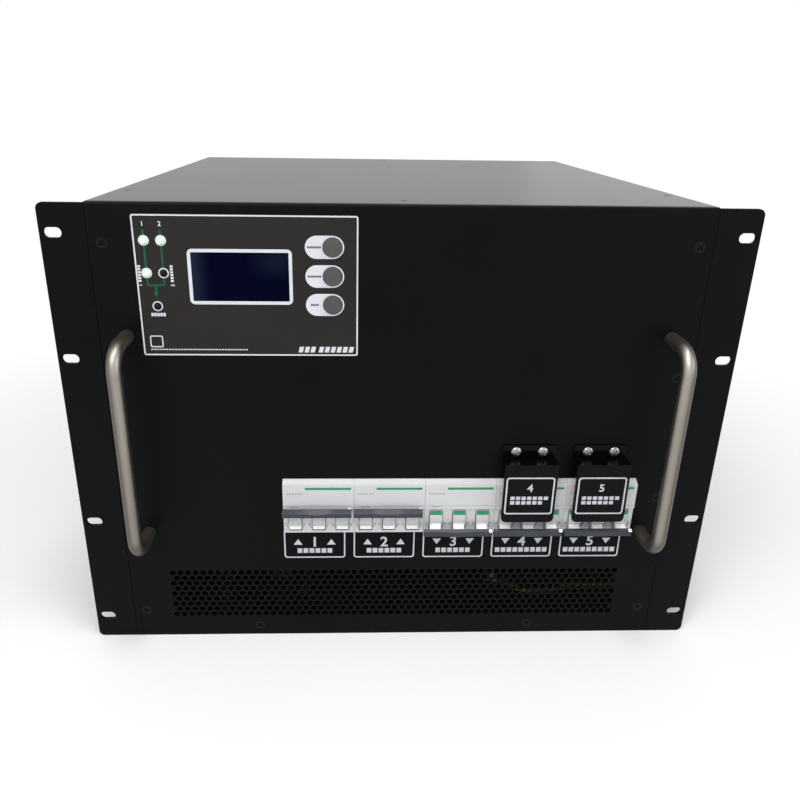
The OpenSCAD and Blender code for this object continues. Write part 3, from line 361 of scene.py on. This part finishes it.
def printed(name, outlines, face, material, words=(), numbers=()):
    """Ink on a face that looks to the front, at y = face in metres. An outline inside another is a hole, and
    the blocks that stand for words are filled one by one."""
    bm = bmesh.new()
    for outline in outlines:
        ring = [bm.verts.new((x * MM, face, z * MM)) for x, z in outline]
        for a, b in zip(ring, ring[1:] + ring[:1]):
            bm.edges.new((a, b))
    bmesh.ops.triangle_fill(bm, edges=bm.edges, use_beauty=True, normal=(0, -1, 0))
    for block in words:
        bm.faces.new([bm.verts.new((x * MM, face, z * MM)) for x, z in block])
    for mesh in numbers:
        bm.from_mesh(mesh)
    raised = bmesh.ops.extrude_face_region(bm, geom=bm.faces)["geom"]
    moved = [v for v in raised if isinstance(v, bmesh.types.BMVert)]
    bmesh.ops.translate(bm, verts=moved, vec=(0, -print_depth, 0))
    return new_piece(name, bm, material, "chassis")


def blocks(x, z, count, width, height, pitch, lean=0.0, upright=False):
    """Outlines of a row of blocks about a point, in millimetres. They lean over, or the row runs upward."""
    row = []
    for k in range(count):
        left = (k - (count - 1) / 2) * pitch - width / 2
        corners = ((left - lean, -height / 2), (left + width - lean, -height / 2),
                   (left + width + lean, height / 2), (left + lean, height / 2))
        row.append([(x - b, z + a) if upright else (x + a, z + b) for a, b in corners])
    return row


def at_lever(x, out, up, pivot, tilt):
    """The place of a point given in a lever's own directions: across, out along the arm, and up."""
    turn = math.radians(tilt)
    return (pivot.x + x * MM,
            pivot.y - (out * math.cos(turn) - up * math.sin(turn)) * MM,
            pivot.z + (out * math.sin(turn) + up * math.cos(turn)) * MM)


def skin(bm, rings):
    """Faces between rings of points, with both ends closed."""
    for a, b in zip(rings, rings[1:]):
        for i in range(len(a)):
            j = (i + 1) % len(a)
            bm.faces.new((a[i], a[j], b[j], b[i]))
    bm.faces.new(rings[0])
    bm.faces.new(reversed(rings[-1]))


def drum_field(bm, x, low, high, pivot, tilt, corner):
    """A raised field on a drum, from one angle to another above the lever's arm, in degrees.
    Its upper corners may be round."""
    steps = 12
    rings = []
    for k in range(steps + 1):
        turn = math.radians(low + (high - low) * k / steps)
        short = max(0.0, corner - (math.radians(high) - turn) * drum_r)
        half = lever_w / 2 - field_margin - corner + math.sqrt(corner ** 2 - short ** 2)
        corners = ((-1, field_root), (-1, field_lift), (1, field_lift), (1, field_root))
        rings.append([bm.verts.new(at_lever(
            x + side * half, (drum_r + r) * math.cos(turn), (drum_r + r) * math.sin(turn), pivot, tilt))
            for side, r in corners])
    skin(bm, rings)


def lever_solid(bm, across, outline, pivot, tilt):
    """A solid between two values across, with an outline in a lever's own directions: out, and up."""
    skin(bm, [[bm.verts.new(at_lever(x, out, up, pivot, tilt)) for out, up in outline] for x in across])


def round_edges(piece, width, steps=2):
    """Breaks the sharp edges of a piece of this scene."""
    rounding = piece.modifiers.new("edges", "BEVEL")
    rounding.width = width
    rounding.segments = steps
    rounding.limit_method = "ANGLE"


# ---------------------------------------------------------------- tie bars
# A slate coloured bar joins the three levers of a breaker, so that the poles switch together. Its front
# is a ridge that swells in the middle to give a finger some hold. White wraps each arm behind the bar
# and the lip under each arm, and a white block closes the bar's right end.
rest_tilt = 32.0
tie_in, tie_out, tie_half = 14.8, 19.4, 3.3
tie_steps = 44
brow_in, ridge_low, ridge_swell, swell_length = 2.3, 0.3, 0.9, 1.7
tip_half_w, tip_half_h, tip_in = 4.35, 2.64, 11.0
block_w, block_h, block_in, block_out = 2.6, 0.7, 15.4, 18.0
lip = ((7.4, -5.2), (10.02, -5.16), (10.02, -7.66), (9.5, -8.42), (6.8, -7.5))
lip_half_w = 4.62
tie_bar_plastic = grained("tie bar plastic", (0.018, 0.023, 0.034), (0.021, 0.026, 0.037), 0.4, patches=70.0)


def tie_section(x, half_width):
    """One section through a tie bar, in a lever's own directions: out along the arm, and up."""
    swell = ridge_swell * math.cos(min(1.0, abs(x) / half_width * swell_length) * math.pi / 2) ** 2
    brow = tie_out - brow_in + swell
    ridge = -ridge_low - swell
    return [(tie_in, tie_half), (brow, tie_half), (brow + 0.35, tie_half - 0.25), (tie_out, ridge + 0.35),
            (tie_out, ridge - 0.35), (tie_out - 1.7, -tie_half), (tie_in, -tie_half)]


for number in range(1, 6):
    joint = next(j for j in frame["joints"] if j["name"] == f"toggle_{number}_hinge")
    body = f"toggle_{number}"
    pivot = Vector(joint["pos_m"])
    low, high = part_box(f"tie_bar_{number}")
    tilt = math.copysign(rest_tilt, (low.z + high.z) / 2 - pivot.z)
    tie_middle = ((low.x + high.x) / 2 - pivot.x) / MM
    tie_reach = (high.x - low.x) / 2 / MM
    low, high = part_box(f"breaker_{number}")
    x, z = (low.x + high.x) / 2 / MM, (low.z + high.z) / 2 / MM

    dress(breaker_case, f"breaker_{number}")
    dress(lever_plastic, f"levers_{number}")
    soften(0.3 * MM, f"breaker_{number}")
    soften(0.25 * MM, f"levers_{number}")
    printed(f"breaker_{number}_stripe", [bar(*stripe, x, z)], low.y, green_ink)
    # the painted groove shade line, with the printed dash and maker's blocks
    printed(f"breaker_{number}_lines", [bar(*groove_shade_line, x, z), bar(*dash, x, z)], low.y, grey_ink_and_groove_shade,
            blocks(x + maker_x, z + maker_z, maker_letters, *maker_block))

    for field, spans, corner, material in (
            ("white", white_spans, 0.0, lever_white), ("green", green_spans, green_corner, green_ink)):
        bm = bmesh.new()
        for pole in poles:
            for low_angle, high_angle in spans:
                drum_field(bm, pole, low_angle, high_angle, pivot, tilt, corner)
        new_piece(f"levers_{number}_{field}", bm, material, body)

    bm = bmesh.new()
    for pole in poles:
        middle = pole + tie_middle
        left = max(middle - tip_half_w, pole - lip_half_w)
        wrap = oblong(tip_in, tie_in, -tip_half_h, tip_half_h)
        lever_solid(bm, (left, middle + tip_half_w), wrap, pivot, tilt)
        lever_solid(bm, (pole - lip_half_w, pole + lip_half_w), lip, pivot, tilt - rest_tilt)
    right = tie_middle + tie_reach
    end_block = oblong(block_in, block_out, tie_half, tie_half + block_h)
    lever_solid(bm, (right - block_w, right), end_block, pivot, tilt)
    round_edges(new_piece(f"levers_{number}_tips", bm, lever_white, body), 0.5 * MM, 3)

    bm = bmesh.new()
    rings = []
    for k in range(tie_steps + 1):
        x = (2 * k / tie_steps - 1) * tie_reach
        rings.append([bm.verts.new(at_lever(x + tie_middle, out, up, pivot, tilt))
                      for out, up in tie_section(x, tie_reach)])
    skin(bm, rings)
    tie_bar = new_piece(f"tie_bar_{number}_moulding", bm, tie_bar_plastic, body)
    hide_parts(f"tie_bar_{number}")
    round_edges(tie_bar, 0.2 * MM)

# ---------------------------------------------------------------- front panel
# A 2 mm steel plate, cut by laser for the breakers, the vent and the display, in the tray's powder coat.
# Each breaker has a white frame printed under it, with its plain number, two arrows and a row of blocks
# where a word would be.
panel_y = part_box("front_panel")[0].y
row_low, row_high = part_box("breaker_3")
row_x, row_z = (row_low.x + row_high.x) / 2 / MM, (row_low.z + row_high.z) / 2 / MM
frame_w, frame_low, frame_r, frame_line = 47.9, 74.7, 2.4, 1.1
frame_top = row_z - 23.3
frame_shift, frame_pitch = -2.9, 54.4
digit_h, digit_z, digit_weight = 9.0, 89.5, 0.02
arrow_out, arrow = 13.0, ((-3.4, -2.6), (3.4, -2.6), (0.0, 2.6))
word_z, word_block = 81.4, (3.7, 4.2, 4.7)
word_letters = (6, 6, 6, 9, 9)
white_ink = grained("white ink", (0.56, 0.57, 0.62), (0.5, 0.51, 0.56), 0.45, patches=120.0)

dress(powder_coat, "front_panel")
soften(0.12 * MM, "front_panel", steps=1)


def arc(x, z, r, start, end, steps=8):
    """Points along an arc, with the angles in degrees."""
    turns = [math.radians(start + (end - start) * k / steps) for k in range(steps + 1)]
    return [(x + r * math.cos(t), z + r * math.sin(t)) for t in turns]


def frame_side(x, half, low, r):
    """A frame's outline down its left side, around both lower corners and up its right side."""
    return [(x - half, frame_top), *arc(x - half + r, low + r, r, 180, 270),
            *arc(x + half - r, low + r, r, 270, 360), (x + half, frame_top)]


def number_mesh(text, height, x, z, face, turn=0.0):
    """A flat mesh of a plain number that looks to the front, about its middle, in millimetres."""
    curve = bpy.data.curves.new("number", "FONT")
    curve.body = text
    curve.align_x = "CENTER"
    curve.align_y = "CENTER"
    curve.offset = digit_weight
    curve.resolution_u = 6
    holder = bpy.data.objects.new("number", curve)
    mesh = bpy.data.meshes.new_from_object(holder)
    heights = [vertex.co.y for vertex in mesh.vertices]
    size = max(heights) - min(heights)
    middle = (max(heights) + min(heights)) / 2
    cos, sin = math.cos(math.radians(turn)), math.sin(math.radians(turn))
    for vertex in mesh.vertices:
        across, up = vertex.co.x * height / size, (vertex.co.y - middle) * height / size
        vertex.co = ((x + across * cos - up * sin) * MM, face, (z + across * sin + up * cos) * MM)
    bpy.data.objects.remove(holder)
    return mesh


for number in range(1, 6):
    x = row_x + (number - 3) * frame_pitch + frame_shift
    outer = frame_side(x, frame_w / 2, frame_low, frame_r)
    inner = frame_side(x, frame_w / 2 - frame_line, frame_low + frame_line, frame_r - 1)
    up = 1 if number < 3 else -1
    arrows = [[(x + side * arrow_out + a, digit_z + up * b) for a, b in arrow] for side in (-1, 1)]
    printed(f"label_{number}", [outer + inner[::-1], *arrows], panel_y, white_ink,
            blocks(x, word_z, word_letters[number - 1], *word_block),
            [number_mesh(str(number), digit_h, x, digit_z, panel_y)])

# ---------------------------------------------------------------- display
# A printed film covers the opening for the screen, the five lamps and the three round keys. White and green
# lines on it show the two supplies joining into one load, and rows of blocks stand where words would be.
film_low, film_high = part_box("display_overlay")
film_y = film_low.y
film_x, film_z = (film_low.x + film_high.x) / 2 / MM, (film_low.z + film_high.z) / 2 / MM
film_w, film_h = (film_high.x - film_low.x) / MM, (film_high.z - film_low.z) / MM
border_gap, border_line, border_r, border_inner_r = 0.35, 1.0, 1.6, 0.7
window_line, window_r, screen_gap, screen_r = 2.4, 3.4, 0.2, 0.8
lamp_d, lamp_ring = 5.3, 7.2
lamp_cols = (film_x - 67.5, film_x - 56.2)
lamp_rows = (film_z + 31.85, film_z + 9.75)
fault_lamp = (film_x - 62.2, film_z - 13.4)
supply_digit_h, supply_digit_z = 3.2, film_z + 43.0
load_x = (lamp_cols[0] - 4.9, lamp_cols[1] + 5.4)
load_z, load_digit_h, load_digit_z = lamp_rows[1] - 0.4, 2.4, lamp_rows[1] - 8.4
load_block = (1.45, 1.9, 2.0)
join_z = film_z + 1.3
flow_line, flow_bend, flow_top = 1.3, 2.2, 3.6
tip_half, tip_top, tip_low = 1.5, join_z - 4.6, join_z - 8.4
pill_h, pill_left, key_ring = 15.7, 18.5, 13.6
key_word_x, key_block = -12.4, (1.0, 1.4, 1.35)
key_letters = {"key_top": 7, "key_middle": 7, "key_bottom": 4}
square_x, square_z = film_x - 65.2, film_z - 38.9
square_sizes = ((9.0, 8.6, 1.2), (7.4, 7.0, 0.6))
# rows of blocks: across and up from the film's middle, their count, width, height, pitch and lean
film_words = ((-62.2, -19.4, 5, 1.6, 2.4, 2.05, 0.0), (-36.1, -44.8, 33, 1.5, 0.8, 2.05, 0.0),
              (39.2, -44.6, 3, 3.0, 4.2, 4.2, 0.5), (59.6, -44.6, 6, 3.0, 4.2, 4.2, 0.5))

overlay_film = grained("overlay film", (0.02, 0.019, 0.0175), (0.018, 0.0172, 0.016), 0.5, patches=14.0,
                       grains=1500.0, height=0.000008, Specular_IOR_Level=0.12)
film_white = grained("white film ink", (0.66, 0.67, 0.72), (0.62, 0.63, 0.68), 0.45, patches=60.0)
film_green = grained("green film ink", (0.01, 0.1, 0.05), (0.013, 0.11, 0.055), 0.5, patches=60.0,
                     Specular_IOR_Level=0.1)
dark_ink = grained("dark film ink", (0.01, 0.01, 0.012), (0.014, 0.014, 0.016), 0.5, patches=60.0)
key_plastic = grained("key rubber", (0.06, 0.062, 0.06), (0.052, 0.054, 0.053), 0.5, patches=90.0)
lamp_lit = grained("lit lamp", (0.5, 0.86, 0.52), (0.62, 0.93, 0.62), 0.25, patches=300.0,
                   Emission_Color=(0.66, 1.0, 0.68, 1.0), Emission_Strength=0.4)
lamp_dark = grained("dark lamp", (0.004, 0.0045, 0.0045), (0.008, 0.007, 0.0065), 0.2, patches=300.0,
                    Specular_IOR_Level=0.1)


def rounded(x, z, w, h, r):
    """The outline of a rectangle with round corners about a point."""
    points = []
    for sx, sz, start in ((1, 1, 0), (-1, 1, 90), (-1, -1, 180), (1, -1, 270)):
        points += arc(x + sx * (w / 2 - r), z + sz * (h / 2 - r), r, start, start + 90, 6)
    return points


def disc(x, z, d):
    """The outline of a circle."""
    corners = 40
    return arc(x, z, d / 2, 0, 360 - 360 / corners, corners - 1)


def screen_finish():
    """Dark glass with two painted reflections, soft lighter patches: one down its left third, one in its
    upper right corner.
    """
    tree, given, out = blank_effect("screen", [
        ("Colour", "Color", (0.0016, 0.0022, 0.012, 1)), ("Painted reflection", "Color", (0.022, 0.034, 0.066, 1)),
        ("Left sheen ends", "Float", 0.0), ("Right sheen's middle", "Vector", (0.0, 0.0, 0.0)),
    ], [("Colour", "Color"), ("Roughness", "Float"), ("Normal", "Vector")])
    place = put(tree, "TexCoord").outputs["Object"]
    wave = put(tree, "TexNoise", {"Vector": place, "Scale": 55.0, "Detail": 1.0}).outputs["Fac"]
    across = put(tree, "SeparateXYZ", {0: place}).outputs["X"]
    bent = put(tree, "Math", {0: wave, 1: 0.012, 2: across}, operation="MULTIPLY_ADD").outputs[0]
    beyond = put(tree, "Math", {0: bent, 1: given["Left sheen ends"]}, operation="SUBTRACT").outputs[0]
    left = put(tree, "MapRange", {"Value": beyond, "From Min": 0.004, "From Max": -0.01},
               interpolation_type="SMOOTHSTEP")
    reach = put(tree, "VectorMath", {0: place, 1: given["Right sheen's middle"]}, operation="DISTANCE")
    right = put(tree, "MapRange", {
        "Value": reach.outputs["Value"], "From Min": 0.018, "From Max": 0.004, "To Max": 0.4})
    # the two painted reflections, wavy through the noise, are mixed over the glass colour
    share = put(tree, "Math", {0: left.outputs[0], 1: right.outputs[0]}, operation="MAXIMUM")
    soft = put(tree, "Math", {0: share.outputs[0], 1: wave}, operation="MULTIPLY")
    tree.links.new(blend_colours(tree, soft.outputs[0], given["Colour"], given["Painted reflection"]), out["Colour"])
    out["Roughness"].default_value = 0.15
    tree.links.new(put(tree, "NewGeometry").outputs["Normal"], out["Normal"])
    return tree


screen_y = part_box("lcd_module")[0].y
screen_x, screen_z = film_x - 4.8, film_z + 7.3
screen_w, screen_h = 65.2, 33.6
# the screen glass, with its painted reflections placed on the left and in the upper right
screen_glass = surface("screen glass", screen_finish(), {
    "Left sheen ends": (screen_x - 18.0) * MM,
    "Right sheen's middle": ((screen_x + 22.0) * MM, screen_y, (screen_z + 14.0) * MM),
}, Specular_IOR_Level=0.0)
dress(overlay_film, "display_overlay")
dress(screen_glass, "lcd_module")
dress(lamp_lit, "lamps_lit")
dress(lamp_dark, "lamps_unlit")
dress(key_plastic, "key_top", "key_middle", "key_bottom")
soften(0.5 * MM, "key_top", "key_middle", "key_bottom", steps=3)

white_parts = []
for gap, r in ((border_gap, border_r), (border_gap + border_line, border_inner_r)):
    white_parts.append(rounded(film_x, film_z, film_w - 2 * gap, film_h - 2 * gap, r))
for line, r in ((2 * window_line, window_r), (screen_gap, screen_r)):
    white_parts.append(rounded(screen_x, screen_z, screen_w + line, screen_h + line, r))
for x, z in [(x, z) for x in lamp_cols for z in lamp_rows] + [fault_lamp]:
    white_parts += [disc(x, z, lamp_ring), disc(x, z, lamp_d)]
key_words = []
for name, letters in key_letters.items():
    low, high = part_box(name)
    x, z = (low.x + high.x) / 2 / MM, (low.z + high.z) / 2 / MM
    cap = pill_h / 2
    white_parts.append([*arc(x, z, cap, -90, 90, 16), *arc(x - pill_left + cap, z, cap, 90, 270, 16)])
    white_parts.append(disc(x, z, key_ring))
    key_words += blocks(x + key_word_x, z, letters, *key_block)
white_parts += [rounded(square_x, square_z, *size) for size in square_sizes]
white_words = []
for x in load_x:
    white_words += blocks(x, load_z, 6, *load_block, upright=True)
for across, up, *row in film_words:
    white_words += blocks(film_x + across, film_z + up, *row)
digits = [number_mesh(str(i + 1), supply_digit_h, lamp_cols[i], supply_digit_z, film_y) for i in (0, 1)]
digits += [number_mesh(str(i + 1), load_digit_h, load_x[i], load_digit_z, film_y, 90.0) for i in (0, 1)]
printed("film_white_print", white_parts, film_y, film_white, white_words, digits)
printed("key_words", [], film_y - print_depth, dark_ink, key_words)

half = flow_line / 2
ring = lamp_ring / 2
flows = []
for x in lamp_cols:
    flows.append(oblong(x - half, x + half, lamp_rows[0] + ring, lamp_rows[0] + ring + flow_top))
    flows.append(oblong(x - half, x + half, lamp_rows[1] + ring, lamp_rows[0] - ring))
left, right = lamp_cols
middle = fault_lamp[0]
inner_bend = flow_bend - flow_line
flows.append([
    (left - half, lamp_rows[1] - ring),
    *arc(left - half + flow_bend, join_z - half + flow_bend, flow_bend, 180, 270, 6),
    (middle - half, join_z - half), (middle - half, tip_top), (middle - tip_half, tip_top),
    (middle, tip_low),
    (middle + tip_half, tip_top), (middle + half, tip_top), (middle + half, join_z - half),
    *arc(right + half - flow_bend, join_z - half + flow_bend, flow_bend, 270, 360, 6),
    (right + half, lamp_rows[1] - ring), (right - half, lamp_rows[1] - ring),
    *arc(right - half - inner_bend, join_z + half + inner_bend, inner_bend, 0, -90, 4),
    *arc(left + half + inner_bend, join_z + half + inner_bend, inner_bend, 270, 180, 4),
    (left + half, lamp_rows[1] - ring),
])
printed("film_green_print", flows, film_y, film_green)

# ---------------------------------------------------------------- guards
# A stepped steel plate over each of the last two breakers keeps its lever down. It has a smoother, glossier
# black coat than the panel, a printed frame on its face and two stainless pan head screws.
guard_face_z = 22.9
guard_frame = ((36.5, 31.6, 2.2), (34.1, 29.2, 1.4))
guard_digit_h, guard_digit_z = 6.4, 6.8
# two rows of blocks on each guard: across and up from the frame's middle, and their count
guard_words, guard_block = ((0.0, -1.9, 7), (-2.1, -5.8, 6)), (3.2, 2.9, 4.2)

guard_coat = grained("glossy black coat", (0.0016, 0.0016, 0.0022), (0.002, 0.002, 0.0026), 0.2, 0.06,
                     grains=500.0, height=0.000004, Specular_IOR_Level=0.1)
steel_screws = metal("stainless screws", (0.42, 0.41, 0.38), (0.3, 0.29, 0.27), 0.28, along=0, fine=700.0)
dress(guard_coat, "guard_1", "guard_2")
dress(steel_screws, "guard_screws", "handle_screws")
soften(0.8 * MM, "guard_1", "guard_2", steps=3)
soften(0.12 * MM, "guard_screws")
for number in (1, 2):
    low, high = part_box(f"guard_{number}")
    x = (low.x + high.x) / 2 / MM
    z = low.z / MM + guard_face_z
    words = []
    for across, up, letters in guard_words:
        words += blocks(x + across, z + up, letters, *guard_block)
    printed(f"guard_{number}_print", [rounded(x, z, *size) for size in guard_frame], low.y, white_ink, words,
            [number_mesh(str(number + 3), guard_digit_h, x, z + guard_digit_z, low.y)])

# ---------------------------------------------------------------- handles
# Each handle is one 10 mm stainless rod with two bends, brushed along its length and screwed on from behind.
# The flanks of the rod are painted darker than the side that faces the eye: painted shade by the angle of
# view, which leaves a bright stripe down the middle.
# colour of the painted shade on the rod's flanks
painted_flank_shade_colour = (0.125, 0.108, 0.09)


def brushed_rod():
    """Satin steel with painted shade that darkens the rod where it turns away from the eye."""
    made = metal("satin stainless steel with painted shade", (0.42, 0.405, 0.365), (0.34, 0.325, 0.29), 0.38, along=2,
                 spread=0.14)
    tree = made.node_tree
    shader = tree.nodes["Principled BSDF"]
    drawn = shader.inputs["Base Color"].links[0].from_socket
    # painted shade: the rod's flanks go darker by the angle of view, leaving a bright middle
    facing = put(tree, "LayerWeight", {"Blend": 0.5}).outputs["Facing"]
    flank_shade_share = put(tree, "MapRange", {"Value": facing, "From Max": 0.36})
    colour = blend_colours(tree, flank_shade_share.outputs[0], drawn, opaque(painted_flank_shade_colour))
    tree.links.new(colour, shader.inputs["Base Color"])
    shader.inputs["Metallic"].default_value = 0.8
    return made


dress(brushed_rod(), "handle_left", "handle_right")

# ---------------------------------------------------------------- rack ears
# A folded 2.5 mm angle at each side carries the chassis in its rack. Its front face has four slots for the
# screws into the rack's rails.
dress(powder_coat, "rack_ear_left", "rack_ear_right")
soften(0.3 * MM, "rack_ear_left", "rack_ear_right")

# ---------------------------------------------------------------- top cover
# A flat 1.2 mm sheet closes the chassis behind the panel's bent edge. Its coat is a little smoother, so that
# it shines when seen at a low angle.
cover_coat = grained("black cover coat", (0.012, 0.012, 0.014), (0.016, 0.015, 0.016), 0.32, 0.06,
                     grains=700.0, height=0.000003, Specular_IOR_Level=0.34)
dress(cover_coat, "top_cover")
soften(sheet_edge, "top_cover")

# ---------------------------------------------------------------- black screws
# Countersunk machine screws hold the panels, the cover and the ears.
# Their black oxide finish is thin and shines a little more than the coat around them.
black_screws = grained("black oxide screws", (0.004, 0.004, 0.005), (0.008, 0.0075, 0.007), 0.32,
                       patches=400.0, Specular_IOR_Level=0.12)
dress(black_screws, "panel_screws", "ear_screws", "cover_screws", "rear_screws")
soften(0.1 * MM, "panel_screws", "ear_screws", "cover_screws", "rear_screws", steps=1)

# ---------------------------------------------------------------- floor and light
# The chassis stands on a pale floor that fades to white. The surround is white where it is seen and dimmer
# where it only lights, and four soft lamps give the shine on the cover and the handles.
floor_size, floor_gap = 30.0, 0.2 * MM
fade_from, fade_to = 0.3, 0.8
fill_strength = 0.45
floor_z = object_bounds()[0].z - floor_gap
bm = bmesh.new()
for x, y in ((-1, -1), (1, -1), (1, 1), (-1, 1)):
    bm.verts.new((x * floor_size / 2, y * floor_size / 2, floor_z))
bm.faces.new(bm.verts)
floor_mesh = bpy.data.meshes.new("floor")
bm.to_mesh(floor_mesh)
bm.free()
floor = bpy.data.objects.new("floor", floor_mesh)
bpy.context.scene.collection.objects.link(floor)


def seen_directly(tree):
    """1 for what the camera sees, straight on or in a mirror or glass."""
    path = put(tree, "LightPath").outputs
    plain = put(tree, "Math", {0: path["Is Camera Ray"], 1: path["Is Glossy Ray"]}, operation="MAXIMUM")
    through = {0: plain.outputs[0], 1: path["Is Transmission Ray"]}
    return put(tree, "Math", through, operation="MAXIMUM").outputs[0]


floor_paint = bpy.data.materials.new("floor")
floor_paint.use_nodes = True
tree = floor_paint.node_tree
matt = tree.nodes["Principled BSDF"]
matt.inputs["Base Color"].default_value = (0.95, 0.95, 0.95, 1.0)
matt.inputs["Roughness"].default_value = 0.9
matt.inputs["Specular IOR Level"].default_value = 0.1
place = put(tree, "TexCoord").outputs["Object"]
distance = put(tree, "VectorMath", {0: place}, operation="LENGTH").outputs["Value"]
far = put(tree, "MapRange", {"Value": distance, "From Min": fade_from, "From Max": fade_to},
          interpolation_type="SMOOTHSTEP")
share = put(tree, "Math", {0: far.outputs[0], 1: seen_directly(tree)}, operation="MULTIPLY")
white = put(tree, "Emission", {"Color": (1, 1, 1, 1), "Strength": 1.0})
both = put(tree, "MixShader", {0: share.outputs[0], 1: matt.outputs[0], 2: white.outputs[0]})
tree.links.new(both.outputs[0], tree.nodes["Material Output"].inputs["Surface"])
floor_mesh.materials.append(floor_paint)

world = bpy.data.worlds.new("surround")
world.use_nodes = True
bpy.context.scene.world = world
tree = world.node_tree
strength = put(tree, "MapRange", {"Value": seen_directly(tree), "To Min": fill_strength, "To Max": 1.0})
tree.links.new(strength.outputs[0], tree.nodes["Background"].inputs["Strength"])
tree.nodes["Background"].inputs["Color"].default_value = (1.0, 1.0, 1.0, 1.0)


def soft_lamp(name, place, aim, size, watts, colour):
    """A square soft lamp at one place, turned to another, with its side in metres and its power."""
    lamp = bpy.data.lights.new(name, "AREA")
    lamp.size = size
    lamp.energy = watts
    lamp.color = colour
    holder = bpy.data.objects.new(name, lamp)
    holder.location = place
    holder.rotation_euler = (Vector(aim) - Vector(place)).to_track_quat("-Z", "Y").to_euler()
    bpy.context.scene.collection.objects.link(holder)


soft_lamp("key_light", (-0.7, -1.3, 1.7), (0, 0, 0.15), 1.2, 24.0, (1.0, 0.99, 0.97))
soft_lamp("side_light", (1.6, -0.9, 0.9), (0, 0, 0.15), 1.0, 8.0, (0.95, 0.97, 1.0))
soft_lamp("rear_light", (1.0, 1.5, 0.6), (0.1, 0, 0.35), 1.0, 0.7, (0.95, 0.97, 1.0))
soft_lamp("top_light", (0.1, -0.5, 1.6), (0, -0.1, 0.2), 0.35, 6.0, (1.0, 1.0, 1.0))

# ---------------------------------------------------------------- camera
# The camera stands in front, a little above the cover and to the left of the middle, and looks down at
# the chassis. The lens is shifted, so that the object fills the frame as it should.
camera = bpy.data.cameras.new("camera")
camera.lens = 30.36
camera.sensor_width = 36.0
camera.shift_x = 0.0314
camera.shift_y = -0.0693
camera.clip_start = 0.02
viewer = bpy.data.objects.new("camera", camera)
viewer.location = (-0.0334, -0.648, 0.4122)
viewer.rotation_euler = [math.radians(turn) for turn in (70.522, -0.778, -1.529)]
bpy.context.scene.collection.objects.link(viewer)
bpy.context.scene.camera = viewer
bpy.context.scene.view_settings.view_transform = "Standard"
